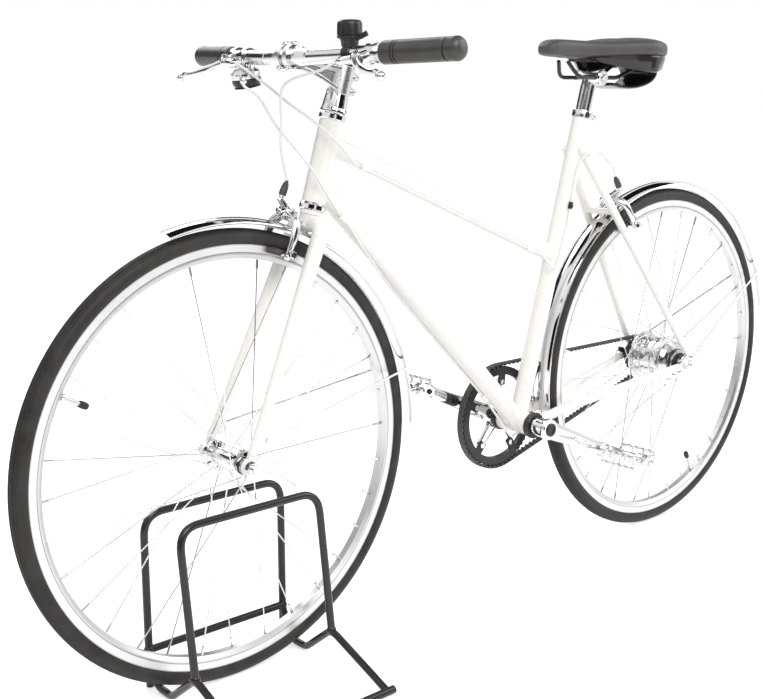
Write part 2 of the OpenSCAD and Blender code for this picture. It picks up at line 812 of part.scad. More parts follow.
// Toothed disc that runs just inside the belt
module toothed(n, r) {
    tip = r - belt_tooth - tooth_gap;
    polygon([for (i = [0 : n - 1])
        for (c = [[0, -tooth_h], [0.3, 0], [0.62, 0], [0.92, -tooth_h]])
            (tip + c[1]) * belt_dir((i + c[0]) * 360 / n)]);
}

// Cable stops: small barrels brazed to the left underside of the tubes
top_down = unit(cross(top_tube_seat - top_tube_head, left));
down_down = unit(cross(bb - down_tube_head, left));
stop_turn = 48;
function stop_side(down, turn) = cos(turn) * down + sin(turn) * left;
function top_stop(f) = top_tube_head + f * (top_tube_seat - top_tube_head)
    + (top_tube_d / 2 + cable_d / 2 + 1) * stop_side(top_down, stop_turn);
function down_stop(f, turn = stop_turn) = down_tube_head + f * (bb - down_tube_head)
    + (down_tube_d / 2 + cable_d / 2 + 1) * stop_side(down_down, turn);
stop_r = 4.5;
stop_l = 14;
module cable_stop(p, dir) {
    difference() {
        rod(p - stop_l / 2 * dir, p + stop_l / 2 * dir, stop_r);
        rod(p - stop_l * dir, p + stop_l * dir, cable_d / 2 + run_gap);
    }
}

top_dir = unit(top_tube_seat - top_tube_head);
down_dir = unit(bb - down_tube_head);
module cable_stops() {
    color(cream) {
        difference() {
            for (f = [0.13, 0.86]) cable_stop(top_stop(f), top_dir);
            rod(top_tube_head, top_tube_seat, top_tube_d / 2);
        }
        difference() {
            for (p = [down_stop(0.1), down_stop(0.84, 0)]) cable_stop(p, down_dir);
            rod(down_tube_head, bb, down_tube_d / 2);
        }
    }
}

seatstay_at = norm(seatstay_hi - bb);
function beside_seat(t, f, y) = on_seat(t) + f * seat_fwd + y * left;
module rear_brake_cable() {
    side = seat_tube_d / 2 + cable_d / 2 + 1;
    color(housing) cable([
        top_stop(0.13), top_stop(0.4), top_stop(0.7), top_stop(0.86),
        top_stop(0.93) + [0, 2, -1],
        beside_seat(top_tube_drop_at - 24, 16, side + 4),
        beside_seat(top_tube_drop_at + 4, 5, side + 2),
        beside_seat(top_tube_drop_at + 56, 0, side),
        beside_seat(top_tube_drop_at + 92, 2, side),
        beside_seat(top_tube_drop_at + 148, 5, side),
        beside_seat(seatstay_at - 22, 6, side + 3),
        beside_seat(seatstay_at - 3, -3, side + 12),
        beside_seat(seatstay_at + 5, -35, side + 13),
        beside_seat(seatstay_at - 12, -80, side + 12),
        brake_point(rear_hub, rear_brake_at, barrel_end + 16, barrel_y, rear_arm_off),
        brake_point(rear_hub, rear_brake_at, barrel_end + cable_seat, barrel_y, rear_arm_off)
    ]);
}

module shift_cable() {
    color(housing) cable([
        down_stop(0.1), down_stop(0.115), down_stop(0.13), down_stop(0.2, 32), down_stop(0.28, 16),
        down_stop(0.37, 0), down_stop(0.6, 0),
        down_stop(0.84, 0),
        bb + [22, 0, -20],
        bb + [4, -3, -25],
        bb + [-20, -10, -25],
        bb + [-50, -27, -15],
        bb + [-80, -30, -3],
        bb + [-115, -30, 2],
        bb + [-170, -33, 12],
        bb + [-220, -35, 24],
        rear_hub + [150, -41, -19],
        rear_hub + [82, -50, -10],
        rear_hub + [59, -58, 4],
        rear_hub + [45, -62.4, 15.5]
    ]);
}

// Wheel stand
function stand_x(dx) = front_hub.x + dx;
module hoop(w, h) {
    // Legs from the local floor up, a top bar and two round corners
    for (x = [0, w]) translate([x, 0, 0]) cylinder(h = h - hoop_bend, r = stand_r);
    translate([hoop_bend, 0, h]) rotate([0, 90, 0]) cylinder(h = w - 2 * hoop_bend, r = stand_r);
    translate([hoop_bend, 0, h - hoop_bend]) rotate([90, 0, 0]) rotate([0, 0, 90])
        rotate_extrude(angle = 90) translate([hoop_bend, 0]) circle(stand_r);
    translate([w - hoop_bend, 0, h - hoop_bend]) rotate([90, 0, 0])
        rotate_extrude(angle = 90) translate([hoop_bend, 0]) circle(stand_r);
}

module right_hoop_solid() {
    w = hoop_front - hoop_back;
    translate([stand_x(hoop_back), right_hoop_y, 0]) hoop(w, right_hoop_h - stand_r);
    rod([stand_x(hoop_back), right_hoop_y, joint_z], [stand_x(hoop_front), right_hoop_y, joint_z], stand_r);
}

module stand_right_hoop() color(black) right_hoop_solid();

left_lean = atan2(left_foot_y - left_top_y, left_hoop_h - stand_r - joint_z);
joint_ball = 1.27 * stand_r;
module left_joints() {
    for (dx = [hoop_back, hoop_front]) translate([stand_x(dx), left_foot_y, joint_z]) sphere(joint_ball);
}

module stand_left_hoop() {
    rise = (left_hoop_h - stand_r - joint_z) / cos(left_lean);
    color(black) difference() {
        translate([stand_x(hoop_back), left_foot_y, joint_z]) rotate([left_lean, 0, 0])
            hoop(hoop_front - hoop_back, rise);
        left_joints();
    }
}

base_r = stand_r - 0.2;
foot_r = 1.05 * stand_r;
cradle_knee = 1.25;
module stand_base() {
    low = cradle_knee * base_r;
    color(black) difference() {
        union() {
            left_joints();
            for (x = [stand_x(hoop_back), stand_x(hoop_front)]) {
                bent_rod([
                    [x, right_hoop_y, joint_z],
                    [x, cradle_right_y, low],
                    [x, cradle_left_y, low],
                    [x, left_foot_y, joint_z]
                ], base_r, cradle_knee);
                rod([x, left_foot_y, joint_z], [x, stand_reach, foot_r], base_r);
            }
            rod([stand_x(hoop_back) - 12, stand_reach, foot_r],
                [stand_x(hoop_front) + 12, stand_reach, foot_r], foot_r);
        }
        right_hoop_solid();
    }
}

// Fork
fork_drop_t = 7;
blade_top_y = guard_w / 2 + blade_d / 2 + 1.2;
crown_bend = 16.5;
blade_top_s = crown_bolt_s + 2 - crown_bend;
blade_tip_y = front_old / 2 + fork_drop_t / 2;
module in_crown_frame() {
    // X sideways, Y up the steering axis, Z forward
    translate(head_foot) rotate([0, head_angle - 90, 0]) rotate([90, 0, 90]) children();
}

module steerer(r) rod(on_head(crown_bolt_s), on_head(steerer_top), r);

module crown_solid() {
    steerer(steerer_d / 2);
    rod(on_head(fork_l - 6), on_head(fork_l), lower_cup_r - 2);
    rod(on_head(crown_bolt_s - 4), on_head(fork_l - 6), blade_d / 2 + 2, lower_cup_r - 3.5);
    in_crown_frame() translate([0, blade_top_s + crown_bend, 0]) rotate([0, 90, 0])
        cylinder(h = 2 * (blade_top_y - crown_bend), r = blade_d / 2, center = true);
    both_sides() {
        in_crown_frame() translate([blade_top_y - crown_bend, blade_top_s]) rotate_extrude(angle = 90)
            translate([crown_bend, 0]) circle(blade_d / 2);
        blade_knee();
    }
}

module blade_knee() ball(blade_hi, blade_bend, knee * blade_d / 2);

module fork_crown() {
    color(cream) {
        crown_solid();
        brake_place(front_hub, front_brake_at) rod([guard_out_r, 0, 0], [brake_bolt_r - 8, 0, 0], 4);
    }
}

// Left blade: tapers from the crown to a flattened tip that holds the axle
blade_hi = on_head(blade_top_s) + [0, blade_top_y, 0];
blade_bend = front_hub - 3 * head_fwd + 70 * head_dir + [0, blade_tip_y - 3, 0] - 6 * head_fwd;
blade_lo = front_hub + 22 * head_dir + [0, blade_tip_y, 0];
fork_eye = front_hub + 44 * head_dir - 18 * head_fwd;
module fork_dropout() {
    side_plate(front_old / 2, front_old / 2 + fork_drop_t) difference() {
        union() {
            translate([front_hub.x, front_hub.z]) circle(13);
            translate([front_hub.x, front_hub.z]) rotate(180 - head_angle)
                translate([0, -6]) square([34, 12]);
            translate([fork_eye.x, fork_eye.z]) circle(5);
            translate([front_hub.x, front_hub.z]) rotate(180 - head_angle)
                translate([28, -2]) square([20, 20]);
        }
        translate([front_hub.x, front_hub.z]) circle(axle_d / 2 + seat_gap);
        translate([fork_eye.x, fork_eye.z]) circle(guard_stay_d / 2 + seat_gap);
    }
}

module fork_blades() {
    color(cream) both_sides() {
        difference() {
            rod(blade_hi, blade_bend, blade_d / 2, blade_tip_d / 2 + 1.5);
            translate(blade_hi) sphere(knee * blade_d / 2);
        }
        translate(blade_bend) sphere(knee * (blade_tip_d / 2 + 1.5));
        rod(blade_bend, blade_lo, blade_tip_d / 2 + 1.5, blade_tip_d / 2);
        translate(blade_lo) sphere(knee * blade_tip_d / 2);
        fork_dropout();
    }
}

front_stay_at = 165;
module front_mudguard_stays() {
    color(polished) both_sides()
        guard_stay(fork_eye + [0, front_old / 2, 0], fork_drop_t, guard_edge(front_hub, front_stay_at));
}

// Cockpit
module headset_spacer() {
    b = steerer_d / 2;
    color(polished) along(on_head(headset_top + 0.5), on_head(stem_lo)) rotate_extrude()
        polygon([[b, 0], [upper_cup_r, 0], [upper_cup_r, 2], [b + 5, 6], [b + 3.2, spacer_h], [b, spacer_h]]);
}

clamp_w = 44;
clamp_r = bar_clamp_d / 2 + 5;
clamp_split = 1;
stem_arm_w = 24;
stem_arm_h = 26;
stem_rib = 5;
// Forged arm with a long pocket in each side
module stem_arm() {
    pocket_from = steerer_d / 2 + 11;
    pocket_to = stem_l - clamp_r - stem_rib;
    translate(on_head(stem_lo + stem_h / 2 + 2)) rotate([0, head_angle - 90, 0]) difference() {
        translate([0, -stem_arm_w / 2, -stem_arm_h / 2]) cube([stem_l, stem_arm_w, stem_arm_h]);
        both_sides() translate([pocket_from, stem_arm_w / 2 - stem_rib, -stem_arm_h / 2 + stem_rib])
            cube([pocket_to - pocket_from, stem_arm_w, stem_arm_h - 2 * stem_rib]);
    }
}

module stem() {
    mid = on_head(stem_lo + stem_h / 2);
    color(polished) difference() {
        union() {
            rod(on_head(stem_lo), on_head(steerer_top), steerer_d / 2 + 3.2);
            rod(on_head(steerer_top), on_head(steerer_top + 3), steerer_d / 2 + 1.5);
            stem_arm();
            rod(bar_mid - [0, clamp_w / 2, 0], bar_mid + [0, clamp_w / 2, 0], clamp_r);
            translate(mid - 20 * head_fwd) rotate([0, head_angle - 90, 0])
                cube([14, 22, stem_h - 6], center = true);
        }
        rod(on_head(stem_lo - 1), on_head(steerer_top), steerer_d / 2);
        rod(bar_mid - [0, clamp_w, 0], bar_mid + [0, clamp_w, 0], bar_clamp_d / 2);
        stem_front_half(-clamp_split);
        translate(mid - 24 * head_fwd) rotate([0, head_angle - 90, 0])
            cube([24, 2.4, stem_h * 2], center = true);
    }
}

module stem_front_half(start) {
    translate(bar_mid) rotate([0, head_angle - 90, 0])
        translate([start, -clamp_w, -2 * clamp_r]) cube([4 * clamp_r, 2 * clamp_w, 4 * clamp_r]);
}

// Two crescents that hold the bar from the front
module stem_faceplate() {
    strap_w = 15;
    color(polished) intersection() {
        both_sides() difference() {
            rod(bar_mid + [0, clamp_w / 2 - strap_w, 0], bar_mid + [0, clamp_w / 2, 0], clamp_r);
            rod(bar_mid - [0, clamp_w, 0], bar_mid + [0, clamp_w, 0], bar_clamp_d / 2);
        }
        stem_front_half(clamp_split);
    }
}

module handlebar() {
    color(polished) {
        rod(bar_mid - [0, bar_bulge, 0], bar_mid + [0, bar_bulge, 0], bar_clamp_d / 2);
        both_sides() {
            rod(bar_mid + [0, bar_bulge, 0], bar_bend, bar_clamp_d / 2, bar_d / 2);
            ball(bar_bend, bar_end, knee * bar_d / 2);
            rod(bar_bend, on_bar(4), bar_d / 2);
        }
    }
}

module grips() {
    b = bar_d / 2 + seat_gap;
    r = grip_d / 2;
    groove = 1;
    cap = 16;
    color(rubber) both_sides() along(on_bar(grip_l), bar_end) rotate_extrude() difference() {
        union() {
            square([r, grip_l - cap]);
            translate([0, grip_l - cap]) intersection() {
                translate([0, cap - 20]) circle(20);
                square([r, cap]);
            }
        }
        translate([-1, -1]) square([b + 1, grip_l - 3]);
        for (y = [22, 26, grip_l - 22]) translate([r - groove, y]) square([groove + 1, 1.6]);
    }
}

// Brake levers: a clamp on the bar with a pivot body in front, and a slim blade
lever_c = on_bar(lever_at);
lever_pivot = lever_c + [26, -6, -8];
blade_points = [lever_pivot + [4, 6, -2], lever_c + [44, 24, -20], lever_c + [52, 47, -25],
                lever_c + [55, 75, -31]];
function lever_nose(f) = lever_pivot + f * [4, -26, -2];
module lever_bodies() {
    color(polished) both_sides() difference() {
        union() {
            rod(lever_c - 8 * bar_dir, lever_c + 8 * bar_dir, bar_d / 2 + 3.5);
            rod(lever_c, lever_pivot, 8);
            translate(lever_pivot) sphere(10);
            rod(lever_pivot, lever_nose(1), 7, 5);
        }
        rod(lever_c - 30 * bar_dir, lever_c + 30 * bar_dir, bar_d / 2 + seat_gap);
        translate(lever_pivot + [4, 6, -2]) sphere(7.2);
    }
}

module lever_blades() {
    color(polished) both_sides() {
        translate(blade_points[0]) sphere(7);
        bent_rod(blade_points, 4.5);
        translate(blade_points[3]) sphere(6.5);
    }
}

// Bell on the left of the bar
bell_gap = 43;
bell_lift = 21;
bell_c = on_bar(lever_at + bell_gap);
module bell() {
    color(black) difference() {
        union() {
            rod(bell_c - 6 * bar_dir, bell_c + 6 * bar_dir, bar_d / 2 + 3);
            rod(bell_c, bell_c + [0, 0, bell_lift], 10, 12);
            translate(bell_c + [0, 0, bell_lift]) rotate_extrude()
                polygon([[0, 0], [16, 0], [17.5, 3], [17.5, 13], [16, 20], [12, 25], [6, 27], [0, 27.5]]);
            rod(bell_c + [0, 0, bell_lift - 4], bell_c + [-8, 27, bell_lift + 6], 3.5, 2.5);
        }
        rod(bell_c - 30 * bar_dir, bell_c + 30 * bar_dir, bar_d / 2 + seat_gap);
    }
}

// Shift pod under the right of the bar
pod_c = mirrored(on_bar(grip_l + 56));
pod_side = pod_c + [14, 3, -27];
function pod_barrel(d) = pod_side + (24 + d) * unit([10, 17, -9]);
module shifter() {
    d = mirrored(bar_dir);
    color(polished) difference() {
        union() {
            rod(pod_c - 6 * d, pod_c + 6 * d, bar_d / 2 + 3);
            rod(pod_c + [4, 0, -10], pod_c + [4, 0, -22], 12);
            translate(pod_c + [4, 0, -34]) rotate([0, 12, 0]) rotate_extrude()
                polygon([[0, 0], [18, 0], [22, 4], [22, 12], [17, 17], [0, 17]]);
            rod(pod_c + [4, 0, -27], pod_c + [-2, -34, -29], 4, 3);
            rod(pod_side, pod_barrel(0), 3.5);
        }
        rod(pod_c - 30 * d, pod_c + 30 * d, bar_d / 2 + seat_gap);
    }
}

// Cables that hang from the bar
module front_brake_cable() {
    color(housing) cable([
        lever_nose(1.012),
        lever_nose(1.5),
        lever_pivot + [12, -62, -14],
        bar_mid + [14, 24, -31],
        bar_mid + [15, 0, -48],
        bar_mid + [5, -15, -88],
        bar_mid + [-1, -25, -131],
        brake_point(front_hub, front_brake_at, barrel_end + 16, -barrel_y, -front_arm_off),
        brake_point(front_hub, front_brake_at, barrel_end + cable_seat, -barrel_y, -front_arm_off)
    ]);
}

module brake_lead() {
    color(housing) cable([
        mirrored(lever_nose(1.012)),
        mirrored(lever_nose(1.5)),
        bar_mid + [-9, -72, -38],
        bar_mid + [-21, -28, -67],
        bar_mid + [-32, 4, -86],
        bar_mid + [-46, 23, -105],
        bar_mid + [-73, 26, -128],
        top_stop(0.08) + [0, 4, 1],
        top_stop(0.13) - (stop_l / 2 + 0.2) * top_dir
    ], steps = 4);
}

module shift_lead() {
    color(housing) cable([
        pod_barrel(cable_seat),
        pod_barrel(14),
        bar_mid + [-2, -78, -58],
        bar_mid + [-6, -45, -96],
        bar_mid + [-7, -5, -125],
        bar_mid + [-18, 22, -155],
        bar_mid + [-43, 28, -195],
        down_stop(0.06) + [0, 4, 0],
        down_stop(0.1) - (stop_l / 2 + 0.2) * down_dir
    ], steps = 4);
}

// Wheels
module rim_profile() {
    h = rim_w / 2;
    c = rim_channel / 2;
    polygon([[rim_in_r, -h + 4], [rim_in_r, h - 4], [rim_in_r + 6, h], [rim_out_r, h], [rim_out_r, c],
             [rim_well_r, c], [rim_well_r, -c], [rim_out_r, -c], [rim_out_r, -h], [rim_in_r + 6, -h]]);
}

module tyre_profile() {
    intersection() {
        translate([wheel_r - tyre_w / 2, 0]) circle(tyre_w / 2);
        translate([rim_out_r + seat_gap, -tyre_w]) square([tyre_w, 2 * tyre_w]);
    }
    bead = rim_channel - 2 * seat_gap;
    translate([rim_well_r + seat_gap, -bead / 2]) square([rim_out_r - rim_well_r + 3, bead]);
}

module front_tyre() color(rubber) translate(front_hub) about_axle() tyre_profile();
module rear_tyre() color(rubber) translate(rear_hub) about_axle() tyre_profile();
module front_rim() color(polished) rim(front_hub, front_valve_at);
module rear_rim() color(polished) rim(rear_hub, rear_valve_at);

// Rim with its valve
module rim(hub, valve_at) {
    d = [cos(valve_at), 0, sin(valve_at)];
    tip_r = rim_in_r - valve_l;
    translate(hub) {
        about_axle() rim_profile();
        rod(tip_r * d, (rim_in_r + 2) * d, valve_d / 2);
        rod((tip_r - 7) * d, (tip_r + 1) * d, valve_d / 2 + 0.4, valve_d / 2 + 1.2);
    }
}

// Crossed spokes between a pair of flanges and the rim; each ends in its nipple
module spokes(flange_y, circle_r, cross) {
    step = 360 / flange_spokes;
    end_r = rim_in_r - 0.6;
    for (side = [-1, 1], i = [0 : flange_spokes - 1]) {
        turn = i % 2 == 0 ? 1 : -1;
        a = i * step + (side > 0 ? step / 2 : 0);
        b = a + turn * cross * step;
        y = side * (flange_y + turn * 2.4);
        p = [circle_r * cos(a), y, circle_r * sin(a)];
        q = [end_r * cos(b), side * 2.5, end_r * sin(b)];
        rod(p, q, spoke_d / 2);
        rod(q + nipple_l * unit(p - q), q, nipple_d / 2);
    }
}

front_flange_y = 34;
module front_hub() {
    fr = front_flange_d / 2;
    ar = axle_d / 2 + run_gap;
    w = front_old / 2 - 4 - run_gap;
    fy = front_flange_y;
    color(polished) translate(front_hub) {
        about_axle() polygon([
            [ar, -w], [12, -w], [13, -w + 5], [13, -fy - 3.5], [fr, -fy - 1.8], [fr, -fy + 1.8],
            [12, -fy + 5], [10.5, -12], [10.5, 12], [12, fy - 5], [fr, fy - 1.8], [fr, fy + 1.8],
            [13, fy + 3.5], [13, w - 5], [12, w], [ar, w]]);
        spokes(fy, fr - 2.6, 3);
    }
}

rear_flange_y = 30;
module rear_hub() {
    fr = rear_flange_d / 2;
    sr = rear_shell_d / 2;
    ar = axle_d / 2 + run_gap;
    fy = rear_flange_y;
    w = rear_old / 2 - 2 - run_gap;
    color(polished) translate(rear_hub) {
        about_axle() polygon([
            [ar, -fy - 8], [24, -fy - 8], [34, -fy - 7],
            [40, -fy - 2], [fr, -fy - 1.8], [fr, -fy + 1.8], [sr, -fy + 3.5], [sr - 1.5, 0],
            [sr, fy - 3.5], [fr, fy - 1.8], [fr, fy + 1.8], [40, fy + 2.4], [34, fy + 10],
            [26, fy + 13], [25, fy + 22], [13, fy + 25], [12, w], [ar, w]]);
        spokes(fy, fr - 2.8, 2);
    }
}

// Crankset
left_crank_a = 180 + crank_tilt;
function crank_end(a) = bb + crank_l * [cos(a), 0, sin(a)];
module crank_outline(a) {
    translate([bb.x, bb.z]) rotate(a) {
        circle(20);
        polygon([[2, 17], [crank_l - 4, 12.5], [crank_l - 4, -12.5], [2, -17]]);
        translate([crank_l, 0]) circle(14);
    }
}

module pedal_hole(a, s) {
    e = crank_end(a);
    rod(e + [0, s * (crank_in - 1), 0], e + [0, s * (crank_in + crank_t + 1), 0], axle_d / 2);
}

module crank_arms() {
    spider_y = -belt_line - ring_w / 2;
    color(polished) difference() {
        union() {
            rod(bb - [0, crank_in, 0], bb + [0, crank_in, 0], spindle_r);
            side_plate(crank_in, crank_in + crank_t) crank_outline(left_crank_a);
            side_plate(-crank_in - crank_t, -crank_in) crank_outline(crank_tilt);
            rod(bb + [0, shell_w / 2 + cup_flange_w + 1, 0], bb + [0, crank_in, 0], 17);
            rod(bb - [0, crank_in, 0], bb - [0, shell_w / 2 + cup_flange_w + 1, 0], 22);
            side_plate(spider_y, spider_y + 5) translate([bb.x, bb.z])
                for (i = [0 : spider_arms - 1]) rotate(crank_tilt + i * 360 / spider_arms)
                    polygon([[0, 12], [spider_r, 7.5], [spider_r + 6, 5], [spider_r + 6, -5],
                             [spider_r, -7.5], [0, -12]]);
        }
        pedal_hole(left_crank_a, 1);
        pedal_hole(crank_tilt, -1);
    }
}

module belt_ring() {
    y0 = -belt_line - ring_w / 2;
    color(black) {
        side_plate(y0, y0 + ring_w) translate([bb.x, bb.z]) difference() {
            toothed(ring_teeth, ring_r);
            circle(ring_r - 19);
        }
        side_plate(y0 + 5, y0 + ring_w) translate([bb.x, bb.z])
            for (i = [0 : spider_arms - 1]) rotate(crank_tilt + i * 360 / spider_arms)
                translate([spider_r - 8, -7.5]) square([ring_r - 18 - spider_r + 8 + 1, 15]);
    }
}

module pedal_axles() {
    color(polished) for (s = [-1, 1]) {
        e = crank_end(s > 0 ? left_crank_a : crank_tilt);
        y0 = crank_in + crank_t;
        rod(e + [0, s * crank_in, 0], e + [0, s * y0, 0], axle_d / 2);
        rod(e + [0, s * y0, 0], e + [0, s * (y0 + 7), 0], 8.5);
        rod(e + [0, s * (y0 + 7), 0], e + [0, s * (pedal_in + pedal_w - 6), 0], pedal_axle_r);
    }
}

// Sprocket on the driver that turns in the hub's right end
driver_r = 17;
driver_in = rear_flange_y + 9;
driver_out = 58;
module rear_sprocket() {
    y0 = -belt_line - ring_w / 2;
    color(black) difference() {
        union() {
            side_plate(y0, y0 + ring_w) translate([rear_hub.x, rear_hub.z]) toothed(cog_teeth, cog_r);
            rod(rear_hub - [0, driver_out, 0], rear_hub - [0, driver_in, 0], driver_r);
        }
        rod(rear_hub - [0, drop_y, 0], rear_hub, axle_d / 2 + run_gap);
    }
}

// Left pedal about its axle: a cage round a bearing tube
module pedal(e) {
    wall = 3.5;
    slot_w = 17;
    slot_h = 11;
    rib_t = 4;
    inner = [pedal_l - 2 * wall, pedal_w - 2 * wall, 2 * pedal_h];
    translate(e + [0, pedal_in, 0]) difference() {
        union() {
            rod([0, 0, 0], [0, pedal_w - 3, 0], 10);
            difference() {
                translate([-pedal_l / 2, 0, -pedal_h / 2]) cube([pedal_l, pedal_w, pedal_h]);
                translate([-pedal_l / 2 + wall, wall, -pedal_h]) cube(inner);
                for (i = [0 : 2]) translate([-pedal_l, pedal_w * (2 * i + 1) / 6 - slot_w / 2, -slot_h / 2])
                    cube([2 * pedal_l, slot_w, slot_h]);
            }
            for (f = [1 / 3, 2 / 3]) translate([-pedal_l / 2 + 1, f * pedal_w - rib_t / 2, -slot_h / 2])
                cube([pedal_l - 2, rib_t, slot_h]);
        }
        rod([0, -1, 0], [0, pedal_w - 5.5, 0], pedal_axle_r + run_gap);
    }
}

module left_pedal() color(polished) pedal(crank_end(left_crank_a));
module right_pedal() color(polished) mirror([0, 1, 0]) pedal(crank_end(crank_tilt));

head_tube();
headset_cups();
top_tube();
down_tube();
seat_tube();
bottom_bracket_shell();
bottom_bracket_cups();
chainstays();
seatstays();
seatstay_bridge();
dropouts();
seat_clamp();
seatpost();
saddle_rails();
saddle_pad();
saddle_base();
rear_brake_arms();
rear_brake_pads();
rear_mudguard();
rear_mudguard_stays();
rear_axle();
hub_shift_arm();
drive_belt();
cable_stops();
rear_brake_cable();
shift_cable();
stand_right_hoop();
stand_left_hoop();
stand_base();
fork_crown();
fork_blades();
headset_spacer();
stem();
stem_faceplate();
handlebar();
grips();
lever_bodies();
lever_blades();
bell();
shifter();
front_brake_arms();
front_brake_pads();
front_mudguard();
front_mudguard_stays();
front_axle();
front_brake_cable();
brake_lead();
shift_lead();
front_tyre();
front_rim();
front_hub();
rear_tyre();
rear_rim();
rear_hub();
crank_arms();
belt_ring();
pedal_axles();
rear_sprocket();
left_pedal();
right_pedal();
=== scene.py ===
"""Looks of a cream step-through bicycle parked in a tubular wheel stand."""

import json
import math

import bmesh
import bpy
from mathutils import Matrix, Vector


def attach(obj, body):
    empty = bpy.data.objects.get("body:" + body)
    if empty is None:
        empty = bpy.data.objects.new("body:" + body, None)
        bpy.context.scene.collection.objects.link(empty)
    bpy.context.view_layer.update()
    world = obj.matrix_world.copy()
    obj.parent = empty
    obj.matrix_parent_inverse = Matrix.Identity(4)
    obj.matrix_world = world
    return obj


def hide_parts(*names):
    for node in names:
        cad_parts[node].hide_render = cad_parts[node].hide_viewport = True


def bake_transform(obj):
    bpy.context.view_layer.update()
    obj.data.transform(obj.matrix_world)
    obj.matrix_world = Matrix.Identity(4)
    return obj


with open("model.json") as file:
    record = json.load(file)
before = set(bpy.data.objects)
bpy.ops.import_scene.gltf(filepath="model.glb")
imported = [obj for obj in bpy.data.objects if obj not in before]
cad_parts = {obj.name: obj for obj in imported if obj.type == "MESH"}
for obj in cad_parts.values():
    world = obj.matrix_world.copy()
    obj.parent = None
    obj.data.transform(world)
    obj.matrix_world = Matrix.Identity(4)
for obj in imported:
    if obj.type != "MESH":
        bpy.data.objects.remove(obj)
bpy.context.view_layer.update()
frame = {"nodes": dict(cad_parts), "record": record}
nodes = frame["nodes"]

MM = 0.001
TURN = 2 * math.pi


# Driving dimensions, in millimetres
def at(x, y, z):
    return Vector((x, y, z))


def ray(a):
    """One step out at an angle in the plane of the wheels."""
    return at(math.cos(a), 0, math.sin(a))


WHEELBASE = 1035
WHEEL_R = 339
TYRE_R = 14
RIM_IN_R = 296
FLANGE_SPOKES = 16
VALVE_L = 34
GUARD_EDGE_R = 347.72
GUARD_HALF = 19
FORK_RAKE = 50
HEAD_ANGLE = math.radians(73)
SEAT_ANGLE = math.radians(74.2)
BB_DROP = 56
CHAINSTAY_L = 414
HEAD_LO = 396
HEAD_HI = 521
STEM_LO = 560.5
STEM_H = 43
STEM_L = 100
BAR_LIFT = 4
BAR_FLAT = 50
BAR_SWEEP = 50
BAR_HALF = 302
BAR_RISE = 7
BAR_D = 22.2
GRIP_L = 128
GRIP_D = 32
SEAT_TUBE_L = 567
SEATPOST_UP = 62
TOP_TUBE_DROP = 34
TOP_TUBE_LOW = 305
TOP_TUBE_R = 15
DOWN_TUBE_UP = 31
DOWN_TUBE_R = 17.45
SEAT_TUBE_R = 15.9
HEAD_TUBE_R = 18.2
SHELL_R = 20
CABLE_D = 4
STAND_R = 6

LEFT = at(0, 1, 0)
UP = at(0, 0, 1)
FRONT_HUB = at(522.557, 0, WHEEL_R)
REAR_HUB = FRONT_HUB - at(WHEELBASE, 0, 0)
BB = REAR_HUB + at(math.sqrt(CHAINSTAY_L**2 - BB_DROP**2), 0, -BB_DROP)
HEAD_UP = at(-math.cos(HEAD_ANGLE), 0, math.sin(HEAD_ANGLE))
HEAD_FWD = at(math.sin(HEAD_ANGLE), 0, math.cos(HEAD_ANGLE))
SEAT_UP = at(-math.cos(SEAT_ANGLE), 0, math.sin(SEAT_ANGLE))
SEAT_FWD = at(math.sin(SEAT_ANGLE), 0, math.cos(SEAT_ANGLE))
HEAD_FOOT = FRONT_HUB - FORK_RAKE * HEAD_FWD


def on_head(s):
    return HEAD_FOOT + s * HEAD_UP


def on_seat(t):
    return BB + t * SEAT_UP


def sided(p, side):
    """A point of the left side, or its mirror image where side is -1."""
    return at(p.x, side * p.y, p.z)


BAR_MID = on_head(STEM_LO + STEM_H / 2 + BAR_LIFT) + STEM_L * HEAD_FWD
BAR_END = BAR_MID + at(-BAR_SWEEP, BAR_HALF, BAR_RISE)
BAR_DIR = (BAR_END - BAR_MID - BAR_FLAT * LEFT).normalized()
TOP_TUBE_HEAD = on_head(HEAD_HI - TOP_TUBE_DROP)
TOP_TUBE_SEAT = on_seat(TOP_TUBE_LOW)
DOWN_TUBE_HEAD = on_head(HEAD_LO + DOWN_TUBE_UP)
TOP_DIR = (TOP_TUBE_SEAT - TOP_TUBE_HEAD).normalized()
DOWN_DIR = (BB - DOWN_TUBE_HEAD).normalized()
CLAMP_C = on_seat(SEAT_TUBE_L + SEATPOST_UP)


def on_bar(d):
    return BAR_END - d * BAR_DIR


LEVER_GAP = 16
BELL_GAP = 59
POD_GAP = 56
LEVER_C = on_bar(GRIP_L + LEVER_GAP)
LEVER_PIVOT = LEVER_C + at(26, -6, -8)
BELL_C = on_bar(GRIP_L + BELL_GAP)
POD_C = sided(on_bar(GRIP_L + POD_GAP), -1)
POD_DIR = at(10, 17, -9).normalized()


def lever_nose(f):
    """A point on the line by which the cable leaves the left lever."""
    return LEVER_PIVOT + f * at(4, -26, -2)


def pod_barrel(d):
    """A point on the line by which the cable leaves the shifter."""
    return POD_C + at(14, 3, -27) + (24 + d) * POD_DIR


BRAKE_BOLT_R = 366.5
PAD_R = 311
ARM_HALF = 33
BARREL_END = 400.5
BARREL_Y = 29
CABLE_SEAT = 0.3
# Each brake's name, hub, angle about it, body, cable side, and its arms' place along the tyre
FRONT_BRAKE = ("front_brake", FRONT_HUB, math.radians(114.841), "fork", -1, -42)
REAR_BRAKE = ("rear_brake", REAR_HUB, math.radians(57.408), "frame", 1, 38)


def brake_point(hub, a, x, y, z):
    """A point at x out from the hub, y to the left and z along the tyre."""
    out = ray(a)
    on = at(-math.sin(a), 0, math.cos(a))
    return hub + x * out + y * LEFT + z * on


STOP_TURN = 48
STOP_R = 3


def under(along, turn):
    """The way from a tube's middle to its underside, turned to the left."""
    down = along.cross(LEFT).normalized()
    a = math.radians(turn)
    return math.cos(a) * down + math.sin(a) * LEFT


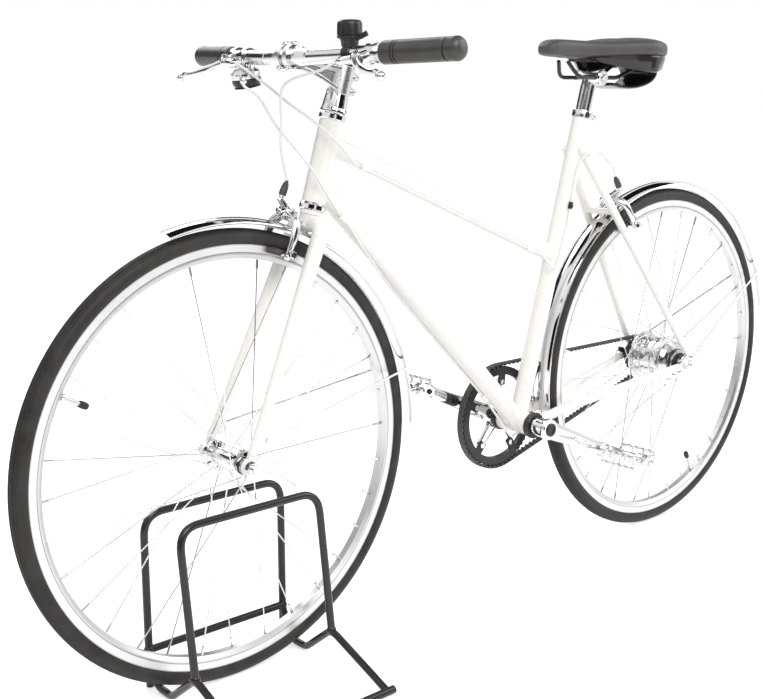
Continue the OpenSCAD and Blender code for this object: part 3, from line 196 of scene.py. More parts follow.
def top_stop(f):
    run = TOP_TUBE_SEAT - TOP_TUBE_HEAD
    return TOP_TUBE_HEAD + f * run + (TOP_TUBE_R + STOP_R) * under(TOP_DIR, STOP_TURN)


def down_stop(f, turn=STOP_TURN):
    run = BB - DOWN_TUBE_HEAD
    return DOWN_TUBE_HEAD + f * run + (DOWN_TUBE_R + STOP_R) * under(DOWN_DIR, turn)


CLIP_AT = (397, 2, 18.9)


def beside_seat(t, f, y):
    return on_seat(t) + f * SEAT_FWD + y * LEFT


# Shader maths
class Wire:
    """A value in a tree of nodes. Sums on it add Math nodes."""

    def __init__(self, bench, socket):
        self.bench = bench
        self.socket = socket

    def math(self, operation, *values):
        return self.bench.add("Math", dict(enumerate(values)), operation=operation)

    def __add__(self, other):
        return self.math("ADD", self, other)

    def __sub__(self, other):
        return self.math("SUBTRACT", self, other)

    def __rsub__(self, other):
        return self.math("SUBTRACT", other, self)

    def __mul__(self, other):
        return self.math("MULTIPLY", self, other)

    def __pow__(self, other):
        return self.math("POWER", self, other)


class Bench:
    """A tree of nodes, and one way to add a node to it."""

    def __init__(self, owner):
        owner.use_nodes = True
        self.tree = owner.node_tree
        self.tree.nodes.clear()

    def feed(self, socket, value):
        if isinstance(value, Wire):
            self.tree.links.new(value.socket, socket)
        elif isinstance(value, tuple) and len(value) == 3 and len(socket.default_value) == 4:
            socket.default_value = (*value, 1)
        else:
            socket.default_value = value

    def add(self, kind, sockets=None, out=0, **settings):
        node = self.tree.nodes.new("ShaderNode" + kind)
        for name, value in settings.items():
            setattr(node, name, value)
        for name, value in (sockets or {}).items():
            self.feed(node.inputs[name], value)
        return Wire(self, node.outputs[out]) if len(node.outputs) else None

    def seen_rays(self):
        """One for rays that show the background: from the camera, off metal or through glass."""
        names = ("Is Camera Ray", "Is Glossy Ray", "Is Transmission Ray")
        camera, glossy, through = (self.add("LightPath", out=n) for n in names)
        return camera.math("MINIMUM", camera + glossy + through, 1.0)


class Finish(Bench):
    """A material made from a principled shader, and the nodes that feed it."""

    def __init__(self, name, **constants):
        self.material = bpy.data.materials.new(name)
        super().__init__(self.material)
        surface = self.add("BsdfPrincipled")
        self.shader = surface.socket.node
        self.add("OutputMaterial", {"Surface": surface})
        self.set(**constants)

    def set(self, **sockets):
        for name, value in sockets.items():
            self.feed(self.shader.inputs[name.replace("_", " ")], value)

    def place(self, move=(0, 0, 0)):
        spot = self.add("TexCoord", out="Object")
        return self.add("Mapping", {"Vector": spot, "Location": move})

    def axes(self, centre):
        spot = self.place(tuple(-c * MM for c in centre))
        return [self.add("SeparateXYZ", {0: spot}, out=n) for n in range(3)]

    def noise(self, scale, detail=3.0):
        sockets = {"Vector": self.place(), "Scale": scale, "Detail": detail}
        return self.add("TexNoise", sockets)

    def mix(self, share, low, high):
        return self.add("Mix", {0: share, 6: low, 7: high}, out=2, data_type="RGBA")

    def band(self, value, low, high, to_low=0.0, to_high=1.0):
        limits = {"From Min": low, "From Max": high, "To Min": to_low, "To Max": to_high}
        return self.add("MapRange", {"Value": value, **limits})

    def bump(self, height, depth, strength=1.0):
        sockets = {"Height": height, "Distance": depth, "Strength": strength}
        self.set(Normal=self.add("Bump", sockets))


def cream_paint():
    f = Finish("cream_paint", Coat_Weight=0.6, Coat_Roughness=0.04, IOR=1.5)
    f.set(Base_Color=f.mix(f.noise(5.0, 2.0), (0.9, 0.872, 0.825), (0.93, 0.905, 0.865)))
    f.set(Roughness=f.band(f.noise(60.0), 0.3, 0.7, 0.2, 0.3))
    f.bump(f.noise(700.0, 1.0), 0.0002, 0.1)
    return f.material


def polished_metal(name, colour, low, high, scratch=0.08):
    f = Finish(name, Metallic=1.0)
    brushed = f.noise(420.0, 4.0)
    cloud = f.noise(18.0, 2.0)
    f.set(Base_Color=f.mix(cloud, colour, tuple(c * 0.92 for c in colour)))
    f.set(Roughness=f.band(brushed * 0.6 + cloud * 0.4, 0.3, 0.7, low, high))
    f.bump(brushed, 0.0001, scratch)
    return f.material


def turned_rim(name, hub):
    """Bare alloy with the fine rings of its turned brake track, and painted shade in a groove and under
    the tyre's edge.
    """
    f = Finish(name, Metallic=1.0)
    x, _, z = f.axes(hub)
    radius = (x * x + z * z) ** 0.5
    lines = radius * 9000.0
    rings = lines.math("SINE", lines)
    track = f.band(radius, 0.3045, 0.3055)
    cloud = f.noise(30.0)
    # Painted shade: groove is a dark line at the inner edge of the brake track, where no groove is
    # shaped, and lip is a dark band where the tyre's edge sits on the rim
    groove = f.band(radius, 0.3035, 0.3042) - f.band(radius, 0.3052, 0.3058)
    lip = f.band(radius, 0.3148, 0.3154)
    tone = f.mix(track, (0.66, 0.65, 0.65), (0.88, 0.88, 0.885))
    # The groove and lip bands darken the rim's colour as painted shade
    f.set(Base_Color=f.mix(groove * 0.8 + lip * 0.45, tone, (0.3, 0.29, 0.29)))
    f.set(Roughness=f.band(cloud, 0.3, 0.7, 0.3, 0.4) + track * 0.1)
    f.bump(rings * track, 0.0001, 0.25)
    return f.material


def black_tyre():
    """Rubber with slanted cuts in the tread and fine rings on the walls, about the hub."""
    f = Finish("black_tyre", Specular_IOR_Level=0.25)
    x, y, z = f.axes(Vector())
    radius = (x * x + z * z) ** 0.5
    turn = x.math("ARCTAN2", z, x)
    side = y.math("ABSOLUTE", y)
    tread = f.band(radius, 0.3335, 0.3345)
    slant = turn * 130.0 + side * 420.0
    cuts = f.band(slant.math("SINE", slant), 0.55, 0.8, 1.0, 0.0)
    lines = radius * 5200.0
    rings = f.band(lines.math("SINE", lines), 0.2, 0.9)
    grit = f.noise(1400.0, 2.0)
    dust = f.noise(35.0, 5.0)
    worn = f.band(dust, 0.35, 0.75)
    f.set(Base_Color=f.mix(worn, (0.024, 0.021, 0.021), (0.046, 0.041, 0.041)))
    f.set(Roughness=f.band(dust, 0.3, 0.7, 0.42, 0.55) + tread * 0.1)
    f.bump(cuts * tread + rings * (1.0 - tread) * 0.25 + grit * 0.15, 0.0006, 0.6)
    return f.material


def soft_rubber(name, low, high):
    f = Finish(name, Specular_IOR_Level=0.45)
    f.set(Base_Color=f.mix(f.noise(40.0), (0.046, 0.044, 0.043), (0.066, 0.063, 0.062)))
    f.set(Roughness=f.band(f.noise(90.0), 0.3, 0.7, low, high))
    f.bump(f.noise(1600.0, 2.0), 0.0001, 0.015)
    return f.material


def gloss_black(name, low, high, coat):
    f = Finish(name, Coat_Weight=coat, Coat_Roughness=0.06, Specular_IOR_Level=0.28)
    f.set(Base_Color=f.mix(f.noise(30.0), (0.02, 0.018, 0.018), (0.03, 0.027, 0.027)))
    f.set(Roughness=f.band(f.noise(140.0), 0.3, 0.7, low, high))
    f.bump(f.noise(900.0, 1.0), 0.0002, 0.12)
    return f.material


def cable_housing():
    f = Finish("cable_housing", Coat_Weight=0.2)
    f.set(Base_Color=f.mix(f.noise(60.0), (0.8, 0.8, 0.79), (0.87, 0.87, 0.86)))
    f.set(Roughness=f.band(f.noise(200.0), 0.3, 0.7, 0.28, 0.4))
    f.bump(f.noise(1200.0, 1.0), 0.0001, 0.1)
    return f.material


def saddle_leather():
    f = Finish("saddle_leather", Specular_IOR_Level=0.45)
    net = {"Vector": f.place(), "Scale": 620.0}
    cells = f.add("TexVoronoi", net, feature="DISTANCE_TO_EDGE")
    f.set(Base_Color=f.mix(f.noise(25.0), (0.058, 0.053, 0.057), (0.084, 0.078, 0.083)))
    f.set(Roughness=f.band(f.noise(120.0), 0.3, 0.7, 0.38, 0.52))
    f.bump(f.band(cells, 0.0, 0.25), 0.0003, 0.35)
    return f.material


paint = cream_paint()
chrome = polished_metal("polished_chrome", (0.78, 0.78, 0.79), 0.05, 0.11, 0.03)
alloy = polished_metal("polished_alloy", (0.74, 0.74, 0.75), 0.15, 0.26)
satin = polished_metal("satin_alloy", (0.7, 0.7, 0.71), 0.24, 0.36)
front_rim_alloy = turned_rim("front_rim_alloy", FRONT_HUB)
rear_rim_alloy = turned_rim("rear_rim_alloy", REAR_HUB)
tyre_rubber = black_tyre()
rubber = soft_rubber("grip_rubber", 0.3, 0.38)
belt_rubber = soft_rubber("belt_rubber", 0.5, 0.65)
housing = cable_housing()
stand_black = gloss_black("stand_black", 0.08, 0.16, 0.2)
black_part = gloss_black("black_part", 0.26, 0.38, 0.1)
shell_gloss = gloss_black("shell_gloss", 0.1, 0.18, 0.3)
saddle_cover = saddle_leather()

# The finishes of each slot, the usual one first
SLOT_FINISHES = {
    "paint": [paint],
    "polished": [alloy, chrome, satin],
    "tyre": [tyre_rubber],
    "rubber": [rubber],
    "cable": [housing],
    "black_paint": [stand_black],
    "black_plastic": [black_part, shell_gloss],
    "saddle_cover": [saddle_cover],
}
NODE_FINISH = {
    "rear_mudguard": chrome,
    "front_mudguard": chrome,
    "rear_mudguard_stays": chrome,
    "front_mudguard_stays": chrome,
    "headset_cups": chrome,
    "headset_spacer": chrome,
    "front_rim": front_rim_alloy,
    "rear_rim": rear_rim_alloy,
    "drive_belt": belt_rubber,
    "front_hub": chrome,
}
slot_of = {p["node"]: p["material_slot"] for p in frame["record"]["subparts"]}
for name, piece in nodes.items():
    piece.data.materials.clear()
    piece.data.materials.append(NODE_FINISH.get(name, SLOT_FINISHES[slot_of[name]][0]))


# Shapes. A turned shape closes at the radius TIP
TIP = 0.05


def sides_of(d):
    other = LEFT if abs(d.y) < 0.9 * d.length else at(1, 0, 0)
    side = d.cross(other).normalized()
    return side, d.normalized().cross(side)


def round_of(a, b, r, steps):
    spots = (TURN * k / steps for k in range(steps))
    return [r * (math.cos(t) * a + math.sin(t) * b) for t in spots]


def curve(points, steps):
    """A smooth line through all the points."""
    path = []
    last = len(points) - 1
    for i in range(last):
        a, b, c, d = points[max(i - 1, 0)], points[i], points[i + 1], points[min(i + 2, last)]
        for k in range(steps):
            t = k / steps
            bend = (2 * a - 5 * b + 4 * c - d) * t**2 + (3 * b - a - 3 * c + d) * t**3
            path.append(0.5 * (2 * b + (c - a) * t + bend))
    return path + [points[last].copy()]


def rounded(points, radius, steps=9):
    """A line with straight runs and round corners."""
    path = [points[0]]
    for a, b, c in zip(points, points[1:], points[2:]):
        u, v = a - b, c - b
        cut = min(radius / math.tan(u.angle(v) / 2), 0.48 * min(u.length, v.length))
        start, end = b + u.normalized() * cut, b + v.normalized() * cut
        for i in range(steps + 1):
            t = i / steps
            path.append((1 - t) ** 2 * start + 2 * t * (1 - t) * b + t**2 * end)
    return path + [points[-1]]


def arc(hub, r, y, start, end, steps):
    angles = (math.radians(start + (end - start) * i / steps) for i in range(steps + 1))
    return [hub + at(r * math.cos(a), y, r * math.sin(a)) for a in angles]


def ease(table, t):
    """A smooth value from a table of places and values."""
    i = max(n for n in range(len(table) - 1) if table[n][0] <= t or n == 0)

    def slope(n):
        a, b = table[max(n - 1, 0)], table[min(n + 1, len(table) - 1)]
        return (b[1] - a[1]) / (b[0] - a[0])

    (x0, y0), (x1, y1) = table[i], table[i + 1]
    w = x1 - x0
    u = min(max((t - x0) / w, 0), 1)
    ends = (2 * u**3 - 3 * u**2 + 1) * y0 + (3 * u**2 - 2 * u**3) * y1
    lean = (u**3 - 2 * u**2 + u) * slope(i) + (u**3 - u**2) * slope(i + 1)
    return ends + lean * w


def squash(c, power):
    """A sine or cosine made flatter or fuller, with its sign kept."""
    return math.copysign(abs(c) ** power, c)


def ball(r, steps):
    """The profile of a ball, for a lathe."""
    turns = (math.pi * k / steps for k in range(steps + 1))
    return [(r * math.sin(a) + 0.4 * TIP, -r * math.cos(a)) for a in turns]


class Shape:
    """The points and faces of one piece."""

    def __init__(self):
        self.points = []
        self.faces = []

    def loft(self, rings, closed=False, caps=True):
        first, n, rows = len(self.points), len(rings[0]), len(rings)
        for ring in rings:
            self.points += ring
        for i in range(rows if closed else rows - 1):
            a, b = first + i * n, first + (i + 1) % rows * n
            for k in range(n):
                m = (k + 1) % n
                self.faces.append((a + k, a + m, b + m, b + k))
        if caps and not closed:
            self.faces.append(tuple(first + k for k in reversed(range(n))))
            self.faces.append(tuple(first + (rows - 1) * n + k for k in range(n)))
        return self

    def lathe(self, foot, up, profile, steps=36, closed=False):
        """A profile of radius and height turned about a line."""
        up = up.normalized()
        a, b = sides_of(up)
        rings = [[foot + h * up + p for p in round_of(a, b, r, steps)] for r, h in profile]
        return self.loft(rings, closed)

    def tube(self, path, radius, sides=14, closed=False, side=None, flat=1):
        count = len(path)
        radii = radius if isinstance(radius, list) else [radius] * count
        rings = []
        for i, p in enumerate(path):
            behind = path[i - 1] if closed or i else p
            ahead = path[(i + 1) % count] if closed or i < count - 1 else p
            on = (ahead - behind).normalized()
            side = side or sides_of(on)[0]
            side = (side - side.dot(on) * on).normalized()
            rings.append([p + q for q in round_of(side, flat * on.cross(side), radii[i], sides)])
        return self.loft(rings, closed)

    def bolt(self, seat, out, r, h):
        """A round head with a socket in it."""
        deep = 0.4 * h
        hole = 0.52 * r
        profile = [(r, 0), (r, 0.75 * h), (0.86 * r, h), (hole, h), (hole, deep), (TIP, deep)]
        return self.lathe(seat, out, profile, 20)

    def nut(self, seat, out, r, h):
        return self.lathe(seat, out, [(r, 0), (r, 0.85 * h), (0.86 * r, h), (TIP, h)], 6)

    def plate(self, outline, thick):
        return self.loft([list(outline), [p + thick for p in outline]])

    def make(self, name, body, finish, replaces=(), sharp=35, bevel=0, origin=None):
        origin = origin or Vector()
        mesh = bpy.data.meshes.new(name)
        mesh.from_pydata([(p - origin) * MM for p in self.points], [], self.faces)
        soft = bmesh.new()
        soft.from_mesh(mesh)
        bmesh.ops.recalc_face_normals(soft, faces=soft.faces)
        soft.to_mesh(mesh)
        soft.free()
        mesh.shade_smooth()
        mesh.set_sharp_from_angle(angle=math.radians(sharp))
        mesh.materials.append(finish)
        piece = put(name, mesh)
        piece.location = origin * MM
        if bevel:
            soft_edges(piece, bevel)
        if replaces:
            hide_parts(*replaces)
        if body:
            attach(piece, body)
        return piece


def put(name, data):
    piece = bpy.data.objects.new(name, data)
    bpy.context.scene.collection.objects.link(piece)
    return piece


def aim(piece, place, look):
    piece.location = place
    piece.rotation_mode = "QUATERNION"
    piece.rotation_quaternion = look.to_track_quat("-Z", "Y")


def soft_edges(piece, width):
    edge = piece.modifiers.new("soft_edges", "BEVEL")
    edge.width = width * MM
    edge.segments = 3
    edge.limit_method = "ANGLE"
    edge.angle_limit = math.radians(40)
    edge.harden_normals = True


# Camera
def camera():
    data = bpy.data.cameras.new("camera")
    data.lens = 57.73
    data.sensor_width = 36
    data.clip_end = 50
    piece = put("camera", data)
    aim(piece, at(1.4881, 1.439, 0.874), at(-0.645, -0.734, -0.2106).normalized())
    bpy.context.scene.camera = piece


camera()


# Cables, along the routes of the modelled ones
def cable(name, points, body=None, bends=None):
    path = curve(points, 6)
    piece = Shape().tube(path, CABLE_D / 2, 12).make(name + "_housing", body, housing, [name])
    if bends:
        path[0] * MM
        path[-1] * MM
        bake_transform(piece)
    length = sum((b - a).length for a, b in zip(path, path[1:]))
    metres = [tuple(p * MM) for p in path]


def near(spot, *steps):
    return [spot + at(*s) for s in steps]


def barrel(brake, d):
    """A point on the line by which the cable enters a brake."""
    _, hub, a, _, cable_side, arm = brake
    return brake_point(hub, a, BARREL_END + d, cable_side * BARREL_Y, arm)


NOSE = (1.012, 1.5)
TOP_STOP_AT = 0.13
DOWN_STOP_AT = 0.1
LEAD_GAP = 7.2
cable(
    "front_brake_cable",
    [lever_nose(f) for f in NOSE]
    + [LEVER_PIVOT + at(12, -62, -14)]
    + near(BAR_MID, (14, 24, -31), (15, 0, -48), (5, -15, -88), (-1, -25, -131))
    + [barrel(FRONT_BRAKE, d) for d in (16, CABLE_SEAT)],
    "fork",
)
cable(
    "brake_lead",
    [sided(lever_nose(f), -1) for f in NOSE]
    + near(BAR_MID, (-9, -72, -38), (-21, -28, -67), (-32, 4, -86), (-46, 23, -105), (-73, 26, -128))
    + [top_stop(0.08) + at(0, 4, 1), top_stop(TOP_STOP_AT) - LEAD_GAP * TOP_DIR],
    bends=("fork", "frame"),
)
cable(
    "shift_lead",
    [pod_barrel(CABLE_SEAT), pod_barrel(14)]
    + near(BAR_MID, (-2, -78, -58), (-6, -45, -96), (-7, -5, -125), (-18, 22, -155), (-43, 28, -195))
    + [down_stop(0.06) + at(0, 4, 0), down_stop(DOWN_STOP_AT) - LEAD_GAP * DOWN_DIR],
    bends=("fork", "frame"),
)
cable(
    "rear_brake_cable",
    [top_stop(f) for f in (TOP_STOP_AT, 0.4, 0.7, 0.86)]
    + [top_stop(0.93) + at(0, 2, -1)]
    + [beside_seat(*p) for p in ((281, 16, 22.9), (309, 5, 20.9), (361, 0, 18.9), CLIP_AT)]
    + [beside_seat(*p) for p in ((453, 5, 18.9), (474, 6, 21.9), (493, -3, 30.9))]
    + [beside_seat(*p) for p in ((501, -35, 31.9), (484, -80, 30.9))]
    + [barrel(REAR_BRAKE, d) for d in (16, CABLE_SEAT)],
    "frame",
)
cable(
    "shift_cable",
    [down_stop(f) for f in (DOWN_STOP_AT, 0.115, 0.13)]
    + [down_stop(f, turn) for f, turn in ((0.2, 32), (0.28, 16), (0.37, 0), (0.6, 0), (0.84, 0))]
    + near(BB, (22, 0, -20), (4, -3, -25), (-20, -10, -25), (-50, -27, -15), (-80, -30, -3))
    + near(BB, (-115, -30, 2), (-170, -33, 12), (-220, -35, 24))
    + near(REAR_HUB, (150, -41, -19), (82, -50, -10), (59, -58, 4), (45, -62.4, 15.5)),
    "frame",
)


# Edges that a foundry or a press leaves round
EDGES = {
    "dropouts": 0.8,
    "lever_bodies": 0.8,
    "seatpost": 0.8,
    "seat_clamp": 0.6,
    "shifter": 0.8,
    "hub_shift_arm": 0.8,
    "front_brake_pads": 1.0,
    "rear_brake_pads": 1.0,
}
for name, width in EDGES.items():
    join = nodes[name].modifiers.new("one_skin", "WELD")
    join.merge_threshold = 0.002 * MM
    soft_edges(nodes[name], width)


# Tyres: a round casing with three grooves in the tread, and a bead in the rim
def tyre(name, hub, body):
    profile = []
    half = 44
    for i in range(-half, half + 1):
        a = math.radians(i * 2.9)
        groove = 0.9 if abs(i) < 2 or 9 <= abs(i) < 12 else 0
        shoulder = 0.45 if abs(i) == 17 else 0
        r = TYRE_R - groove - shoulder - 1.5 * max(0, abs(i) / half - 0.75)
        profile.append((WHEEL_R - TYRE_R + r * math.cos(a), r * math.sin(a)))
    inner = [(r - 2, y * 0.72) for r, y in reversed(profile[6:-6:6])]
    shape = Shape().lathe(hub, LEFT, profile + inner, 180, closed=True)
    shape.make(name + "_casing", body, tyre_rubber, [name], 30, origin=hub)


tyre("front_tyre", FRONT_HUB, "front_wheel")
tyre("rear_tyre", REAR_HUB, "rear_wheel")


# Wheels: valve caps and nuts, and the spokes' heads on the flanges
def wheel_trim(name, hub, body, valve_at, flange_y, circle_r):
    out = ray(math.radians(valve_at))
    tip = hub + (RIM_IN_R - VALVE_L + 2) * out
    cap = [(4.7, 0), (4.7, 2), (5.2, 3), (5.2, 10), (4.4, 13), (TIP, 13.6)]
    Shape().lathe(tip, -out, cap, 18).make(name + "_valve_cap", body, black_part)
    nut = hub + (RIM_IN_R - 3) * out
    collar = Shape().lathe(nut, -out, [(5.6, 0), (5.6, 3.2), (4.6, 4), (3.2, 4)], 18)
    step = TURN / FLANGE_SPOKES
    for side in (-1, 1):
        for i in range(FLANGE_SPOKES):
            b = i * step + (step / 2 if side > 0 else 0)
            face = -side if i % 2 == 0 else side
            seat = hub + circle_r * ray(b) + (side * flange_y + 1.5 * face) * LEFT
            collar.lathe(seat, face * LEFT, [(1.9, 0), (1.8, 0.9), (1.1, 1.5), (TIP, 1.7)], 10)
    collar.make(name + "_spoke_heads", body, alloy)


wheel_trim("front", FRONT_HUB, "front_wheel", valve_at=28.125, flange_y=34, circle_r=18.9)
wheel_trim("rear", REAR_HUB, "rear_wheel", valve_at=241.875, flange_y=30, circle_r=47.7)


# Saddle: a moulded pad with a soft channel, a gloss shell with a tail loop, bent rails
SADDLE_L = 272
SADDLE_W = 176
RAIL_R = 3.5
RAIL_BEND = 26
SADDLE_TAIL = CLAMP_C.x + 128 - SADDLE_L
PAD_HALF = [
    (0, 0.5), (0.06, 0.8), (0.12, 0.93), (0.22, 1), (0.34, 0.92), (0.46, 0.67),
    (0.58, 0.44), (0.72, 0.32), (0.86, 0.27), (1, 0.24),
]
PAD_TOP = [
    (0, 58), (0.06, 66), (0.14, 70), (0.25, 71), (0.42, 67), (0.6, 64), (0.8, 65), (0.93, 64), (1, 57),
]
PAD_LOW = [(0, 30), (0.25, 31.8), (0.45, 33), (0.7, 32.5), (1, 36)]


def pad_end(t):
    """From nothing at either end of the pad to one along it."""
    u = max(0, 1 - t / 0.09, 1 - (1 - t) / 0.07)
    return (1 - u**2.3) ** (1 / 2.3)


def pad_half(t):
    return SADDLE_W / 2 * ease(PAD_HALF, t)


def saddle_pad():
    rings = []
    rows, around = 72, 56
    for i in range(rows + 1):
        t = 0.5 - 0.5 * math.cos(math.pi * (0.012 + 0.976 * i / rows))
        end = pad_end(t)
        half = pad_half(t) * end
        top, low = ease(PAD_TOP, t), ease(PAD_LOW, t)
        lip = low + 0.5 * (top - low)
        ring = []
        for k in range(around):
            a = TURN * k / around
            s = math.sin(a)
            y = half * squash(math.cos(a), 0.85)
            swell = (top - lip if s > 0 else lip - low) * end**0.6
            z = lip + swell * squash(s, 0.62 if s > 0 else 0.5)
            dip = 1.8 * math.exp(-((y / 11) ** 2)) * math.sin(math.pi * t) if s > 0 else 0
            ring.append(at(SADDLE_TAIL + SADDLE_L * t, y, CLAMP_C.z + z - dip))
        rings.append(ring)
    shape = Shape().loft(rings)
    pad = shape.make("saddle_cushion", "frame", saddle_cover, ["saddle_pad"], 60)


saddle_pad()


def saddle_shell():
    shape = Shape()
    low_edge = [(0, 22), (0.1, 15), (0.22, 9), (0.4, 15), (0.55, 25), (0.66, 31), (1, 32)]
    spots = [0.04 + 0.6 * i / 48 for i in range(49)]

    def rim(t, section):
        return [at(SADDLE_TAIL + SADDLE_L * t, y, CLAMP_C.z + z) for y, z in section]

    for side in (-1, 1):
        rings = []
        for t in spots:
            out = pad_half(t) * pad_end(t)
            low = ease(low_edge, t)
            outer = [(out - 5, 38), (out - 4, 33), (out - 9, low + 1)]
            inner = [(out - 11, low), (out - 13, low + 2), (out - 9, 33)]
            rings.append(rim(t, [(side * y, z) for y, z in outer + inner]))
        shape.loft(rings)
    inset = 8
    halves = [pad_half(t) * pad_end(t) - inset for t in spots]
    shape.loft([rim(t, [(-y, 28), (y, 28), (y, 32), (-y, 32)]) for t, y in zip(spots, halves)])
    loop = []
    rows, around = 40, 20
    for i in range(rows + 1):
        a = math.radians(104 + 206 * i / rows)
        wide = 44 - 16 * (i / rows) ** 2
        mid = at(SADDLE_TAIL + 68 + 64 * math.cos(a), 0, CLAMP_C.z + 8 + 25 * math.sin(a))
        thick = ray(a) * 3.4
        turns = [TURN * k / around for k in range(around)]
        sides = [(squash(math.cos(b), 0.5), squash(math.sin(b), 0.6)) for b in turns]
        loop.append([mid + wide * c * LEFT + thick * s for c, s in sides])
    shape.loft(loop)
    shape.make("saddle_tail_shell", "frame", shell_gloss, ["saddle_base"], 50)


saddle_shell()


def saddle_rails():
    shape = Shape()
    bends = [at(-116, 35, 27.5), at(-48, 22, 0), at(58, 22, 0), at(75, 10, 28)]
    for side in (1, -1):
        shape.tube(rounded([CLAMP_C + sided(p, side) for p in bends], RAIL_BEND), RAIL_R)
    shape.make("bent_saddle_rails", "frame", stand_black, ["saddle_rails"])


saddle_rails()


def seat_clamp_trim():
    shape = Shape()
    half = 29
    washer = [(13.2, -4), (13.2, 0), (12, 1.6), (6.5, 1.6), (6, 0.4), (TIP, 0.4)]
    for side in (-1, 1):
        shape.lathe(CLAMP_C + side * half * LEFT, side * LEFT, washer)
    shape.bolt(CLAMP_C + (half + 0.6) * LEFT, LEFT, 5.2, 5)
    shape.nut(CLAMP_C - (half + 0.6) * LEFT, -LEFT, 6, 5)
    eye = on_seat(SEAT_TUBE_L - 6) - (SEAT_TUBE_R + 5) * SEAT_FWD
    shape.bolt(eye + 10 * LEFT, LEFT, 4.4, 4)
    shape.nut(eye - 10 * LEFT, -LEFT, 5, 4)
    shape.make("seat_bolts", "frame", chrome)


seat_clamp_trim()


# Frame: a thin bead of brazing where the tubes meet
def bead(shape, start, along, r, host, axis, host_r):
    """A bead round the tube that starts inside a host tube and leaves it."""
    along, axis = along.normalized(), axis.normalized()
    a, b = sides_of(along)
    path = []
    for spoke in round_of(a, b, r, 48):
        p = start + spoke - host
        p -= p.dot(axis) * axis
        d = along - along.dot(axis) * axis
        half, rest = p.dot(d) / d.dot(d), (p.dot(p) - host_r**2) / d.dot(d)
        path.append(start + spoke + along * (-half + math.sqrt(max(half * half - rest, 0))))
    shape.tube(path, 1.5, 8, closed=True)


def frame_beads():
    shape = Shape()
    bead(shape, TOP_TUBE_HEAD, TOP_DIR, TOP_TUBE_R, HEAD_FOOT, HEAD_UP, HEAD_TUBE_R)
    bead(shape, DOWN_TUBE_HEAD, DOWN_DIR, DOWN_TUBE_R, HEAD_FOOT, HEAD_UP, HEAD_TUBE_R)
    bead(shape, TOP_TUBE_SEAT, -TOP_DIR, TOP_TUBE_R, BB, SEAT_UP, SEAT_TUBE_R)
    bead(shape, BB, -DOWN_DIR, DOWN_TUBE_R, BB, LEFT, SHELL_R)
    bead(shape, BB, SEAT_UP, SEAT_TUBE_R, BB, LEFT, SHELL_R)
    shape.make("frame_beads", "frame", paint)


frame_beads()


# Mudguards: rolled edges
def guard_rolls(name, hub, body, start, end):
    shape = Shape()
    for side in (-1, 1):
        shape.tube(arc(hub, GUARD_EDGE_R, side * GUARD_HALF, start, end, 96), 1.2, 8)
    shape.make(name, body, chrome)


guard_rolls("front_guard_rolls", FRONT_HUB, "fork", start=74, end=182)
guard_rolls("rear_guard_rolls", REAR_HUB, "frame", start=-12, end=170)


# Cockpit: ribbed grips with domed ends
def grips():
    r = GRIP_D / 2
    profile = [(11.3, 0), (r - 1.5, 0), (r - 0.3, 0.6), (r, 1.8)]
    grooves = [20, 25, GRIP_L - 24]
    for h in range(3, GRIP_L - 15):
        cut = 2.4 if any(g <= h < g + 2 for g in grooves) else 0
        rib = 0.25 * (h % 2) if 30 < h < GRIP_L - 28 else 0
        profile.append((r - cut - rib, h))
    profile += [(r, GRIP_L - 14), (r + 0.3, GRIP_L - 12), (r, GRIP_L - 7), (r - 3, GRIP_L - 2.5)]
    profile += [(r - 7, GRIP_L - 0.5), (r - 12, GRIP_L), (TIP, GRIP_L)]
    shape = Shape()
    for side in (1, -1):
        shape.lathe(sided(on_bar(GRIP_L), side), sided(BAR_DIR, side), profile, 44)
    shape.make("ribbed_grips", "fork", rubber, ["grips"], 40)


grips()


def lever_blades():
    shape = Shape()
    bends = [at(36, 8, -13), at(44, 24, -20), at(52, 47, -25), at(54, 62, -27), at(55, 74, -31)]
    path = curve([LEVER_PIVOT + at(4, 6, -2)] + [LEVER_C + p for p in bends], 8)
    last = len(path) - 1
    radii = [5.2 + 0.9 * math.cos(TURN * 2.5 * i / last) for i in range(last + 1)]
    for side in (1, -1):
        line = [sided(p, side) for p in path]
        shape.tube(line, radii, 16, side=UP, flat=0.62)
        shape.lathe(line[-1], line[-1] - line[-4], ball(6.6, 12), 20)
    shape.make("slim_lever_blades", "fork", alloy, ["lever_blades"], 60)


lever_blades()


def lever_trim():
    shape = Shape()
    ribs = [(5.6 if h % 2 else 5.1, h) for h in range(1, 9)]
    barrel = [(2.2, -1), (4.2, -1), (5.6, 0)] + ribs + [(4.2, 9), (3.4, 12), (2.2, 12.5)]
    for side in (1, -1):
        nose = sided(lever_nose(0.92), side)
        shape.lathe(nose, sided(lever_nose(1.3), side) - nose, barrel, 24)
        shape.bolt(sided(LEVER_PIVOT, side) + at(2, 0, 9), at(0.1, 0, 1), 4.6, 3)
        shape.bolt(sided(LEVER_C, side) + at(4, 0, -13), at(0.2, 0, -1), 3.4, 3.5)
    shape.make("lever_adjusters", "fork", chrome)


lever_trim()


def bell():
    shape = Shape()
    r = BAR_D / 2
    ring = [(r + 0.1, -6), (r + 2.6, -6), (r + 3, -5), (r + 3, 5), (r + 2.6, 6), (r + 0.1, 6)]
    shape.lathe(BELL_C, BAR_DIR, ring, 40, closed=True)
    foot = BELL_C + 13 * UP
    shape.lathe(foot, UP, [(11, -4), (12, 0), (12.5, 5), (14, 7), (14, 8.5), (11, 9)], 40)
    cap = [(15.2, 8), (17.2, 8.2), (17.5, 9), (17.5, 12), (16.9, 12.6), (17.5, 13.2), (17.3, 27)]
    shape.lathe(foot, UP, cap + [(16.4, 30), (14.4, 32.2), (11, 33), (TIP, 33.6)], 16)
    thumb = curve([BELL_C + at(0, 6, 19), BELL_C + at(-4, 18, 23), BELL_C + at(-8, 27, 28)], 6)
    shape.tube(thumb, [2.6 + 0.12 * i for i in range(len(thumb))], 12, side=UP, flat=0.7)
    shape.make("ringing_bell", "fork", black_part, ["bell"], 40)


bell()


